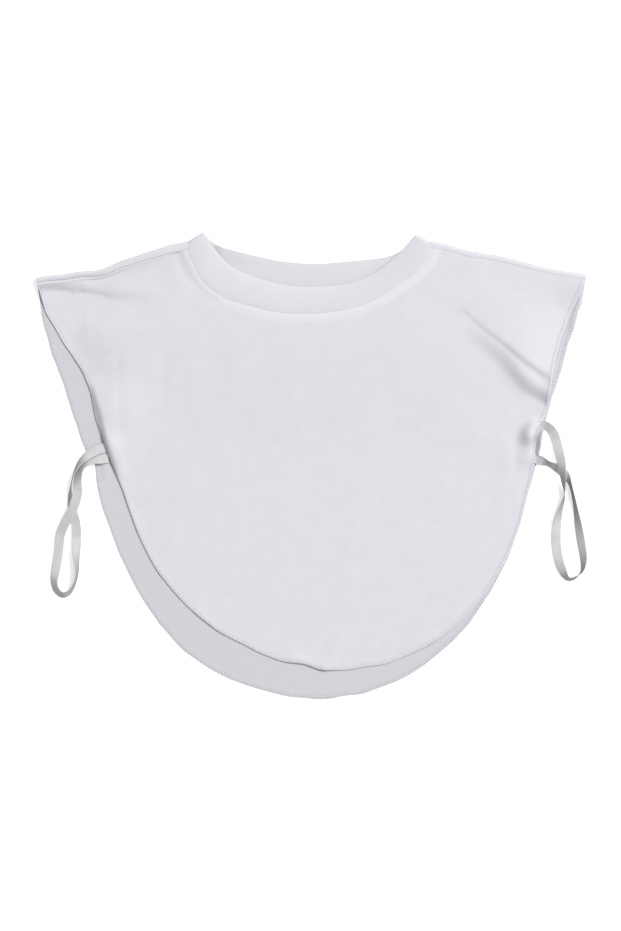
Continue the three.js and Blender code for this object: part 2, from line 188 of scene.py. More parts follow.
@dataclass(frozen=True)
class Fold:
    """A soft ridge or crease of the cloth along a line.

    Attributes:
        route: the places that its line goes through.
        heights: its heights at even steps along the line, below 0 for a crease.
        left: how wide it is to the left of the line, seen along it.
        right: how wide it is to the right.
        hold: how far from the sewn edge it is held down.
    """

    route: tuple[Place, ...]
    heights: tuple[float, ...]
    left: float
    right: float
    hold: float = 0.01

    # How finely the line is drawn, in steps for each of its places.
    steps_for_each_place = 4

    def lift(self, x: np.ndarray, y: np.ndarray) -> np.ndarray:
        """How far the fold lifts the cloth.

        Args:
            x: places on the cloth, across.
            y: places on the cloth, towards the neck.

        Returns:
            The lift at each place.
        """
        line_steps = self.steps_for_each_place * len(self.route)
        line = Curve(self.route).at(np.linspace(0.0, 1.0, line_steps))
        nearest = np.full(x.shape, np.inf)
        result = np.zeros(x.shape)
        spans = len(line) - 1
        profile = Curve(np.array(self.heights)[:, None])
        for span in range(spans):
            start, step = line[span], line[span + 1] - line[span]
            across = x - start[0], y - start[1]
            along = (across[0] * step[0] + across[1] * step[1]) / (step @ step)
            along = np.clip(along, 0.0, 1.0)
            off = across[0] - along * step[0], across[1] - along * step[1]
            distance = np.hypot(*off)
            turned = step[0] * off[1] - step[1] * off[0]
            leftness = turned / np.maximum(distance * np.hypot(*step), TINY)
            width = mix(self.right, self.left, (1.0 + leftness) / 2.0)
            height = profile.at((span + along) / spans)[..., 0]
            closer = distance < nearest
            result = np.where(closer, height * np.exp(-((distance / width) ** 2)), result)
            nearest = np.minimum(nearest, distance)
        return result


@dataclass(frozen=True)
class Unevenness:
    """The slight waves that cloth keeps when it is laid flat.

    Attributes:
        seed: which waves they are.
        count: how many waves are added up.
        height: how high each wave is.
        shortest: the shortest wave's length.
        longest: the longest wave's length.
        steepness: how fast the waves grow with their length.
    """

    seed: int
    count: int = 26
    height: float = 0.032
    shortest: float = 16.0
    longest: float = 75.0
    steepness: float = 0.8

    def lift(self, x: np.ndarray, y: np.ndarray) -> np.ndarray:
        """The sum of the waves at each place.

        Args:
            x: places on the cloth, across.
            y: places on the cloth, towards the neck.

        Returns:
            The lift at each place.
        """
        random = np.random.default_rng(self.seed)
        total = np.zeros(x.shape)
        for _ in range(self.count):
            length = random.uniform(self.shortest, self.longest)
            heading = random.uniform(0.0, np.pi)
            start = random.uniform(0.0, 2.0 * np.pi)
            along = x * np.cos(heading) + y * np.sin(heading)
            size = self.height * (length / self.longest) ** self.steepness
            total += size * np.sin(2.0 * np.pi * along / length + start)
        return total


@dataclass(frozen=True)
class Shoulder:
    """One shoulder: its fold edge runs from the neckband to the tip, with the seam forward of it.

    Attributes:
        neck: the fold edge's end at the neckband.
        tip: its end at the shoulder tip.
        inward: the way from the fold edge to the front panel.
        seam_at_neck: how far forward of the edge the seam is, at the neckband.
        seam_at_tip: the same at the tip.
        band_reach: how far its cloth reaches past the edge's end, up to the neckband.
        sway: shares of the way to the tip, each with how far the edge bows up there.
        fall: the same shares, each with how far the cloth falls from the edge to the seam.
    """

    neck: Place
    tip: Place
    inward: Place
    seam_at_neck: float
    seam_at_tip: float
    band_reach: float
    sway: tuple[Place, ...]
    fall: tuple[Place, ...]

    @property
    def length(self) -> float:
        """The straight distance from neckband to tip."""
        return math.dist(self.neck, self.tip)

    @property
    def forward(self) -> np.ndarray:
        """The way from the fold edge to the front panel, of length 1."""
        return unit(np.array(self.inward))

    def sway_at(self, along: np.ndarray) -> np.ndarray:
        """How far the edge bows up."""
        return eased(self.sway, along)

    def fall_at(self, along: np.ndarray) -> np.ndarray:
        """How far the cloth falls from the edge to the seam."""
        return eased(self.fall, along)

    def seam_at(self, along: np.ndarray) -> np.ndarray:
        """How far forward of the fold edge the seam is."""
        return mix(self.seam_at_neck, self.seam_at_tip, along)

    def line(self, along: np.ndarray, forward: np.ndarray) -> np.ndarray:
        """Places along the shoulder.

        Args:
            along: shares of the way from neckband to tip.
            forward: how far forward of the fold edge each place is.

        Returns:
            One row for each place.
        """
        straight = mix(np.array(self.neck), np.array(self.tip), along[:, None])
        return straight + self.forward * (forward - self.sway_at(along))[:, None]


LEFT_SHOULDER = Shoulder(
    neck=(-96.3, 169.4),
    tip=(-209, 142),
    inward=(0.25, -0.97),
    seam_at_neck=6.4,
    seam_at_tip=3.4,
    band_reach=2.2,
    sway=((0, 0), (0.1, 0.3), (0.24, -0.8), (0.38, -2), (0.58, -5.2), (0.76, -2.6), (1, 0)),
    fall=((0, 0), (0.3, 0.5), (0.65, 1), (0.85, 0.8), (1, 0.5)),
)
RIGHT_SHOULDER = Shoulder(
    neck=(94.2, 169),
    tip=(209, 144.3),
    inward=(-0.2, -0.98),
    seam_at_neck=4.6,
    seam_at_tip=3.4,
    band_reach=3.2,
    sway=((0, 0), (0.08, 0.4), (0.22, -0.8), (0.42, 0.2), (0.75, -1.2), (1, 0)),
    fall=((0, 0), (1, 0)),
)


@dataclass(frozen=True)
class EdgeRow:
    """One line of a panel: where it meets the neckband and where its side or hem lies."""

    neck: Place
    edge: Place


@dataclass
class ClothGrid:
    """The middle surface of a piece of cloth as a grid, with its two faces' distances from it.

    Attributes:
        middle: the surface's points, by station and by row.
        upper: how far the upper face stands off the middle.
        lower: how far the lower face stands off it.
        knit: each point's place on the cloth, for the way its threads run.
        rims: how far the rounded edges stand out, at the first row and at the last.
        inside: which face is the inside of the garment.
        doubled: how far the upper face has a seam allowance beneath it, from 0 to 1.
        is_ring: whether the last station meets the first.
        rim_steps: how many points round off each edge.
    """

    middle: np.ndarray
    upper: np.ndarray
    lower: np.ndarray
    knit: np.ndarray
    rims: tuple[float, float]
    inside: Face = Face.NEITHER
    doubled: np.ndarray | None = None
    is_ring: bool = False
    rim_steps: int = 4

    def normals(self) -> np.ndarray:
        """The way from the middle to the upper face.

        Returns:
            A direction for each point, of length 1.
        """
        along = np.gradient(self.middle, axis=1)
        if self.is_ring:
            across = np.roll(self.middle, -1, axis=0) - np.roll(self.middle, 1, axis=0)
        else:
            across = np.gradient(self.middle, axis=0)
        return unit(np.cross(along, across))

    def _rim(self, row: int, beside: int, reach: float, turns: np.ndarray) -> np.ndarray:
        """The rounded edge's points at each station.

        Args:
            row: the edge's row.
            beside: the row next to it.
            reach: how far the edge stands out.
            turns: angles round the edge, 0 on the upper face.

        Returns:
            Points by station and angle.
        """
        normal = self.normals()[:, row, None]
        out = unit(self.middle[:, row] - self.middle[:, beside])[:, None]
        upper, lower = self.upper[:, row, None, None], self.lower[:, row, None, None]
        height = (upper - lower) / 2.0 + (upper + lower) / 2.0 * np.cos(turns)[None, :, None]
        return self.middle[:, row, None] + normal * height + out * reach * np.sin(turns)[None, :, None]

    def sections(self) -> tuple[np.ndarray, np.ndarray, np.ndarray]:
        """The closed outline of the cloth's section at each station.

        Returns:
            The outline's points, their places on the cloth, and their marks.
        """
        normals = self.normals()
        top = self.middle + normals * self.upper[..., None]
        under = self.middle - normals * self.lower[..., None]
        turns = np.pi * np.arange(1, self.rim_steps + 1) / (self.rim_steps + 1)
        edge = self._rim(-1, -2, self.rims[1], turns)
        neck = self._rim(0, 1, self.rims[0], turns[::-1])
        points = np.concatenate([top, edge, under[:, ::-1], neck], axis=1)
        edge_knit = np.repeat(self.knit[:, -1:], self.rim_steps, axis=1)
        neck_knit = np.repeat(self.knit[:, :1], self.rim_steps, axis=1)
        knit = np.concatenate([self.knit, edge_knit, self.knit[:, ::-1], neck_knit], axis=1)
        rows = self.middle.shape[1]
        inner, doubled = np.zeros((2, *points.shape[:2]))
        if self.inside is Face.UPPER:
            inner[:, :rows] = 1.0
        if self.inside is Face.LOWER:
            inner[:, rows + self.rim_steps : 2 * rows + self.rim_steps] = 1.0
        if self.doubled is not None:
            doubled[:, :rows] = self.doubled
        return points, knit, np.stack([inner, doubled], axis=-1)

    def faces(self) -> list[tuple[int, ...]]:
        """The faces of the closed wall.

        Returns:
            Each face as indices into the sections' points.
        """
        stations, rows = self.middle.shape[:2]
        around = 2 * (rows + self.rim_steps)
        spans = stations if self.is_ring else stations - 1
        here = np.arange(spans)[:, None]
        step = np.arange(around)[None, :]
        beyond = (here + 1) % stations
        turned = (step + 1) % around
        corners = ((here, step), (here, turned), (beyond, turned), (beyond, step))
        quads = np.stack([station * around + point for station, point in corners], axis=-1)
        faces = [tuple(quad) for quad in quads.reshape(-1, 4).tolist()]
        if not self.is_ring:
            faces += self._cap(0, rows, around, False)
            faces += self._cap(stations - 1, rows, around, True)
        return faces

    def _cap(self, station: int, rows: int, around: int, is_last: bool) -> list[tuple[int, ...]]:
        """The faces that close one end of the wall.

        Args:
            station: the end's station.
            rows: how many rows the grid has.
            around: how many points a section has.
            is_last: whether it is the last station.

        Returns:
            The faces.
        """
        start = station * around
        top = [start + row for row in range(rows)]
        under = [start + 2 * rows + self.rim_steps - 1 - row for row in range(rows)]
        edge = [start + rows + step for step in range(self.rim_steps)]
        neck = [start + 2 * rows + self.rim_steps + step for step in range(self.rim_steps)]
        faces = [(top[row], under[row], under[row + 1], top[row + 1]) for row in range(rows - 1)]
        faces.append((top[-1], under[-1], *reversed(edge)))
        faces.append((under[0], top[0], *reversed(neck)))
        return [tuple(reversed(face)) for face in faces] if is_last else faces


class MeshMaker:
    """Makes Blender objects from points in millimetres."""

    knit_map = "knit"
    mark_names = ("inner", "doubled")

    def build(
        self,
        name: str,
        points: np.ndarray,
        faces: list[tuple[int, ...]],
        knit: np.ndarray,
        marks: np.ndarray,
    ) -> bpy.types.Object:
        """Makes one smooth-shaded mesh object.

        Args:
            name: the piece's name.
            points: its points.
            faces: its faces, as indices into the points.
            knit: each point's place on the cloth.
            marks: each point's shares of lying inside the garment and over a seam allowance.

        Returns:
            The object, which is in the scene.
        """
        mesh = bpy.data.meshes.new(name)
        mesh.from_pydata((points * MM).tolist(), [], faces)
        corner_points = np.empty(len(mesh.loops), dtype=np.int32)
        mesh.loops.foreach_get("vertex_index", corner_points)
        knit_layer = mesh.uv_layers.new(name=self.knit_map)
        knit_layer.data.foreach_set("uv", (knit * MM)[corner_points].astype(np.float32).ravel())
        for column, mark in enumerate(self.mark_names):
            layer = mesh.attributes.new(mark, "FLOAT", "POINT")
            layer.data.foreach_set("value", marks[:, column].astype(np.float32))
        mesh.polygons.foreach_set("use_smooth", np.ones(len(mesh.polygons), dtype=bool))
        mesh.update()
        piece = bpy.data.objects.new(name, mesh)
        bpy.context.scene.collection.objects.link(piece)
        return piece

    def from_grid(self, name: str, grid: ClothGrid) -> bpy.types.Object:
        """Makes the closed wall of a cloth grid.

        Args:
            name: the piece's name.
            grid: the cloth.

        Returns:
            The object, which is in the scene.
        """
        points, knit, marks = grid.sections()
        columns = len(self.mark_names)
        return self.build(
            name, points.reshape(-1, 3), grid.faces(), knit.reshape(-1, 2), marks.reshape(-1, columns)
        )

    def from_threads(
        self,
        name: str,
        routes: list[np.ndarray],
        ups: list[np.ndarray],
        radius: float,
        sides: int = 6,
    ) -> bpy.types.Object:
        """Makes thin round threads along many routes.

        Args:
            name: the piece's name.
            routes: for each kind of stitch, points by stitch and step.
            ups: for each kind of stitch, a direction away from the cloth at each point.
            radius: the thread's radius.
            sides: how many sides its section has.

        Returns:
            The object, which is in the scene.
        """
        all_points, all_faces, all_knit = [], [], []
        count = 0
        angles = 2.0 * np.pi * np.arange(sides) / sides
        for route, up in zip(routes, ups):
            stitches, steps = route.shape[:2]
            heading = unit(np.gradient(route, axis=1))
            beside = unit(np.cross(heading, up))
            above = np.cross(beside, heading)
            ring = (
                np.cos(angles)[None, None, :, None] * beside[:, :, None]
                + np.sin(angles)[None, None, :, None] * above[:, :, None]
            )
            all_points.append((route[:, :, None] + radius * ring).reshape(-1, 3))
            travelled = np.linalg.norm(np.diff(route, axis=1), axis=2).cumsum(axis=1)
            travelled = np.concatenate([np.zeros((stitches, 1)), travelled], axis=1)
            knit = np.zeros((stitches, steps, sides, 2))
            knit[..., 0] = travelled[:, :, None]
            knit[..., 1] = radius * angles
            all_knit.append(knit.reshape(-1, 2))
            index = count + np.arange(stitches * steps * sides).reshape(stitches, steps, sides)
            turned = np.roll(index, -1, axis=2)
            quads = np.stack([index[:, :-1], turned[:, :-1], turned[:, 1:], index[:, 1:]], axis=-1)
            all_faces += [tuple(quad) for quad in quads.reshape(-1, 4).tolist()]
            all_faces += [tuple(reversed(cap)) for cap in index[:, 0].tolist()]
            all_faces += [tuple(cap) for cap in index[:, -1].tolist()]
            count += index.size
        points = np.concatenate(all_points)
        marks = np.zeros((len(points), len(self.mark_names)))
        return self.build(name, points, all_faces, np.concatenate(all_knit), marks)


class NodeBoard:
    """Adds and joins the nodes of one material or world."""

    # Where a colour mix node keeps its share, its two colours and their mix.
    mix_inputs = (0, 6, 7)
    mix_output = 2
    noise_roughness = 0.55

    def __init__(self, tree: bpy.types.NodeTree) -> None:
        """Clears the tree.

        Args:
            tree: the node tree to work on.
        """
        self.tree = tree
        tree.nodes.clear()

    def add(self, kind: str, **values: object) -> bpy.types.Node:
        """Adds a node and sets its properties or its inputs' values.

        Args:
            kind: the node's type in Blender.
            values: properties by name; an input's name has its spaces as underscores.

        Returns:
            The node.
        """
        node = self.tree.nodes.new(kind)
        for key, value in values.items():
            if hasattr(node, key):
                setattr(node, key, value)
            else:
                node.inputs[key.replace("_", " ")].default_value = value
        return node

    def join(self, source: bpy.types.NodeSocket, target: bpy.types.NodeSocket) -> None:
        """Links an output to an input."""
        self.tree.links.new(source, target)

    def feed(self, value: object, target: bpy.types.NodeSocket) -> None:
        """Links an output to an input, or sets the input.

        Args:
            value: an output, a number or a colour.
            target: the input.
        """
        if isinstance(value, bpy.types.NodeSocket):
            self.join(value, target)
        else:
            target.default_value = (*value, 1.0) if isinstance(value, tuple) else value

    def math(self, operation: str, *values: object) -> bpy.types.NodeSocket:
        """Adds a math node.

        Args:
            operation: what it does.
            values: one or two outputs or numbers, as many as the operation takes.

        Returns:
            The node's output.
        """
        node = self.add("ShaderNodeMath", operation=operation)
        for value, target in zip(values, node.inputs):
            self.feed(value, target)
        return node.outputs[0]

    def waves(self, place: bpy.types.NodeSocket, length: float) -> bpy.types.NodeSocket:
        """Adds even waves of this length, in millimetres, from -1 to 1."""
        return self.math("SINE", self.math("MULTIPLY", place, 2.0 * math.pi / (length * MM)))

    def blend(self, share: object, first: object, second: object) -> bpy.types.NodeSocket:
        """Adds a node that mixes two colours.

        Args:
            share: how much of the second colour, as an output or a number.
            first: a colour or an output.
            second: a colour or an output.

        Returns:
            The mixed colour.
        """
        node = self.add("ShaderNodeMix", data_type="RGBA")
        for place, value in zip(self.mix_inputs, (share, first, second)):
            self.feed(value, node.inputs[place])
        return node.outputs[self.mix_output]

    def noise(self, place: bpy.types.NodeSocket, size: float, detail: float) -> bpy.types.NodeSocket:
        """Adds a noise.

        Args:
            place: where it is read.
            size: how large its patches are, in millimetres.
            detail: how many finer noises it holds.

        Returns:
            The noise's value, from 0 to 1.
        """
        scale = 1.0 / (size * MM)
        node = self.add("ShaderNodeTexNoise", Scale=scale, Detail=detail, Roughness=self.noise_roughness)
        self.join(place, node.inputs["Vector"])
        return node.outputs["Fac"]


@dataclass(frozen=True)
class ClothFinish:
    """What every cloth finish shares: two near tones, painted shade where it turns down, a soft sheen, fine
    fuzz and a raised knit.

    Attributes:
        name: the finish's name.
        tone: its main colour.
        shade: the colour that it wanders towards.
        inner_tone_and_shade: the colour of the face that is inside the garment; on the back panel it is
            partly painted shade.
        painted_edge_shade: how bright the cloth stays where it turns down, as a share; this darkening is
            painted shade.
        edge_slope: how much of the surface's normal still points up where that painted shade starts.
        doubled_gain: how much whiter the cloth looks over a seam allowance.
        patch: the size of the patches of the two tones.
        patch_detail: how many finer noises those patches hold.
        patch_start: the noise above which the second tone begins.
        patch_contrast: how fast the second tone then takes over.
        fuzz: the size of the fuzz of fine fibres.
        fuzz_detail: how many finer noises the fuzz holds.
        fuzz_height: how high it stands, beside the knit.
        fleck_share: how strongly it greys the cloth.
        fleck_tone: the grey of its flecks.
        roughness: how matt the cloth is.
        gloss: how strongly it mirrors light.
        sheen: how much the fine fibres catch the light.
        sheen_roughness: how softly they do.
        knit_depth: how deep the knit is.
        knit_strength: how strongly it shows.
    """

    name: str
    tone: Colour
    shade: Colour
    inner_tone_and_shade: Colour
    # Painted shade: the cloth is darkened where its surface turns down.
    painted_edge_shade: float = 0.6
    edge_slope: float = 0.95
    doubled_gain: float = 1.05
    patch: float = 11.0
    patch_detail: float = 4.0
    patch_start: float = 0.36
    patch_contrast: float = 3.0
    fuzz: float = 0.9
    fuzz_detail: float = 2.0
    fuzz_height: float = 0.5
    fleck_share: float = 0.035
    fleck_tone: Colour = (0.5, 0.5, 0.52)
    roughness: float = 0.93
    gloss: float = 0.2
    sheen: float = 0.12
    sheen_roughness: float = 0.6
    knit_depth: float = 0.12
    knit_strength: float = 0.14

    def knit_height(self, board: NodeBoard, place: bpy.types.Node) -> bpy.types.NodeSocket:
        """The height of the knit.

        Args:
            board: where the nodes go.
            place: the node that splits the place on the cloth into along and across.

        Returns:
            The height, from 0 to 1.
        """
        raise NotImplementedError

    def colour(
        self, board: NodeBoard, where: bpy.types.NodeSocket, fuzz: bpy.types.NodeSocket
    ) -> bpy.types.NodeSocket:
        """The colour of the cloth, with painted shade where its surface turns down.

        Args:
            board: where the nodes go.
            where: the place in the scene.
            fuzz: the noise of the fine fibres.

        Returns:
            The colour.
        """
        patches = board.noise(where, self.patch, self.patch_detail)
        above = board.math("SUBTRACT", patches, self.patch_start)
        contrast = board.math("MULTIPLY", above, self.patch_contrast)
        tone_share = board.math("MINIMUM", board.math("MAXIMUM", contrast, 0.0), 1.0)
        outer = board.blend(tone_share, self.tone, self.shade)
        inner_share, doubled_share = (
            board.add("ShaderNodeAttribute", attribute_name=mark).outputs["Fac"]
            for mark in MeshMaker.mark_names
        )
        whiter = tuple(self.doubled_gain * value for value in self.tone)
        sided = board.blend(doubled_share, board.blend(inner_share, outer, self.inner_tone_and_shade), whiter)
        # Painted shade: the colour is darkened where the surface turns down from straight up, standing in
        # for the shade at hems, folds and rounded edges.
        facing = board.add("ShaderNodeSeparateXYZ")
        board.join(board.add("ShaderNodeNewGeometry").outputs["Normal"], facing.inputs[0])
        level = board.math("DIVIDE", board.math("ABSOLUTE", facing.outputs["Z"]), self.edge_slope)
        turned_down = board.math("SUBTRACT", 1.0, board.math("MINIMUM", level, 1.0))
        painted_shade_tone = tuple(self.painted_edge_shade * value for value in self.tone)
        with_painted_shade = board.blend(turned_down, sided, painted_shade_tone)
        return board.blend(board.math("MULTIPLY", fuzz, self.fleck_share), with_painted_shade, self.fleck_tone)

    def build(self) -> bpy.types.Material:
        """Makes the material.

        Returns:
            The material.
        """
        material = bpy.data.materials.new(self.name)
        material.use_nodes = True
        board = NodeBoard(material.node_tree)
        where = board.add("ShaderNodeTexCoord").outputs["Object"]
        fuzz = board.noise(where, self.fuzz, self.fuzz_detail)
        knit_map = board.add("ShaderNodeUVMap", uv_map=MeshMaker.knit_map)
        place = board.add("ShaderNodeSeparateXYZ")
        board.join(knit_map.outputs["UV"], place.inputs[0])
        fuzz_height = board.math("MULTIPLY", fuzz, self.fuzz_height)
        height = board.math("ADD", self.knit_height(board, place), fuzz_height)
        bump = board.add("ShaderNodeBump", Strength=self.knit_strength, Distance=self.knit_depth * MM)
        board.join(height, bump.inputs["Height"])
        shader = board.add(
            "ShaderNodeBsdfPrincipled",
            Roughness=self.roughness,
            Specular_IOR_Level=self.gloss,
            Sheen_Weight=self.sheen,
            Sheen_Roughness=self.sheen_roughness,
        )
        board.join(self.colour(board, where, fuzz), shader.inputs["Base Color"])
        board.join(bump.outputs["Normal"], shader.inputs["Normal"])
        output = board.add("ShaderNodeOutputMaterial")
        board.join(shader.outputs["BSDF"], output.inputs["Surface"])
        return material


@dataclass(frozen=True)
class JerseyFinish(ClothFinish):
    """Single jersey: columns of small V-shaped stitches.

    Attributes:
        wale: the width of one column.
        course: the height of one stitch.
        leg_slope: how far a stitch's legs slope, in stitches.
        loop_depth: how much the stitches' height swings along a column.
    """

    wale: float = 0.8
    course: float = 0.62
    leg_slope: float = 0.35
    loop_depth: float = 0.25

    def knit_height(self, board: NodeBoard, place: bpy.types.Node) -> bpy.types.NodeSocket:
        """Two legs to each column, which slope down to its middle.

        Args:
            board: where the nodes go.
            place: the node that splits the place on the cloth into along and across.

        Returns:
            The height, from 0 to 1.
        """
        leg = board.math("ABSOLUTE", board.waves(place.outputs["X"], 2.0 * self.wale))
        slope = board.math("MULTIPLY", leg, self.leg_slope)
        courses = board.math("MULTIPLY", place.outputs["Y"], 1.0 / (self.course * MM))
        turns = board.math("MULTIPLY", board.math("ADD", courses, slope), 2.0 * math.pi)
        swing = board.math("MULTIPLY", board.math("SINE", turns), self.loop_depth)
        return board.math("MULTIPLY", leg, board.math("ADD", swing, 1.0 - self.loop_depth))


@dataclass(frozen=True)
class CordedFinish(ClothFinish):
    """Raised cords one way and smaller beads the other way.

    Attributes:
        along: the distance from cord to cord or bead to bead along the piece.
        across: the same across it.
        along_height: how high the waves along the piece are.
        across_height: how high the waves across it are.
    """

    along: float = 1.5
    across: float = 0.6
    along_height: float = 0.5
    across_height: float = 0.16

    def knit_height(self, board: NodeBoard, place: bpy.types.Node) -> bpy.types.NodeSocket:
        """The sum of the waves along and across the piece.

        Args:
            board: where the nodes go.
            place: the node that splits the place on the cloth into along and across.

        Returns:
            The height, around 0.
        """
        along = board.math("MULTIPLY", board.waves(place.outputs["X"], self.along), self.along_height)
        across = board.math("MULTIPLY", board.waves(place.outputs["Y"], self.across), self.across_height)
        return board.math("ADD", along, across)


@dataclass(frozen=True)
class ThreadFinish(ClothFinish):
    """Overlock thread: soft, with a slanting twist.

    Attributes:
        twist: the length of one turn of its twist.
        slant: how steeply its strands run.
    """

    twist: float = 0.5
    slant: float = 1.5
    painted_edge_shade: float = 1.0
    patch: float = 2.5
    knit_depth: float = 0.05

    def knit_height(self, board: NodeBoard, place: bpy.types.Node) -> bpy.types.NodeSocket:
        """Slanting strands round the thread, as heights around 0."""
        slanted = board.math("MULTIPLY", place.outputs["Y"], self.slant)
        return board.waves(board.math("ADD", place.outputs["X"], slanted), self.twist)


# The finishes, each as its name, its tone, the tone that it wanders towards and its inner face's tone,
# which on the back panel is partly painted shade.
FRONT_JERSEY = JerseyFinish(
    "front_jersey", (0.785, 0.777, 0.827), (0.76, 0.752, 0.8), (0.69, 0.685, 0.735)
)
# The back panel's inner face is darker partly for the greyer reverse of the knit and partly as painted
# shade from the front layer above it.
BACK_JERSEY = JerseyFinish(
    "back_jersey", (0.79, 0.782, 0.832), (0.765, 0.757, 0.805), (0.684, 0.676, 0.719)
)
BAND_RIB = CordedFinish(
    "rib_knit", (0.771, 0.763, 0.812), (0.752, 0.744, 0.79), (0.762, 0.757, 0.796)
)
LOOP_TAPE = CordedFinish(
    "elastic_tape", (0.71, 0.708, 0.722), (0.64, 0.64, 0.65), (0.71, 0.708, 0.722),
    # Strong painted shade where the tape turns on edge.
    painted_edge_shade=0.15,
    edge_slope=0.9,
    patch=9.0,
    roughness=0.85,
    along=0.7,
    across=0.8,
    along_height=0.35,
    across_height=0.5,
)
FRONT_THREAD = ThreadFinish(
    "front_thread", (0.79, 0.783, 0.825), (0.74, 0.735, 0.775), (0.79, 0.783, 0.825)
)
# The back thread's dark second tone, in rare small patches, is painted shade: it stands in for small
# shadows along the back's outer edge; the thread itself is the same as the front's.
BACK_THREAD = ThreadFinish(
    "back_thread", (0.74, 0.73, 0.76), (0.3, 0.295, 0.3), (0.74, 0.73, 0.76), patch_start=0.57
)


def dress(piece: bpy.types.Object, finish: ClothFinish, node: str | None = None) -> None:
    """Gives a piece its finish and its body.

    Args:
        piece: the piece.
        finish: its finish.
        node: the CAD node that it stands for, where it stands for one.
    """
    piece.data.materials.append(finish.build())
    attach(piece, BODY)
    if node is not None:
        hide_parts(node)


def travelled(points: np.ndarray) -> np.ndarray:
    """How far along a line of points each point is."""
    return np.concatenate([[0.0], np.linalg.norm(np.diff(points, axis=0), axis=1).cumsum()])


@dataclass
class Lines:
    """Neighbouring lines of a panel, each from the neckband out to its side or hem.

    Attributes:
        points: their points by line and row, flat until they are given heights.
        from_neck: each point's distance from the neck seam.
        from_edge: its distance from the side or hem.
    """

    points: np.ndarray
    from_neck: np.ndarray
    from_edge: np.ndarray

    def columns(self) -> tuple[np.ndarray, ...]:
        """The points and both distances."""
        return self.points, self.from_neck, self.from_edge

    def turned(self) -> "Lines":
        """The same lines in the opposite order."""
        return Lines(*(column[::-1] for column in self.columns()))

    def raised(self, heights: np.ndarray) -> "Lines":
        """The same flat lines at these heights."""
        points = np.concatenate([self.points, heights[..., None]], axis=-1)
        return Lines(points, self.from_neck, self.from_edge)

    def lead(self, other: "Lines", shares: np.ndarray) -> "Lines":
        """Lines that lead from the last of these to the first of the others.

        Args:
            other: the other lines.
            shares: how much each new line has of the first of the others.

        Returns:
            One line for each share.
        """
        columns = []
        for mine, theirs in zip(self.columns(), other.columns()):
            weights = shares.reshape(-1, *([1] * (mine.ndim - 1)))
            columns.append(mix(mine[-1], theirs[0], weights))
        return Lines(*columns)

    @staticmethod
    def joined(parts: list["Lines"]) -> "Lines":
        """The lines of all the parts, in order."""
        return Lines(*map(np.concatenate, zip(*(part.columns() for part in parts))))


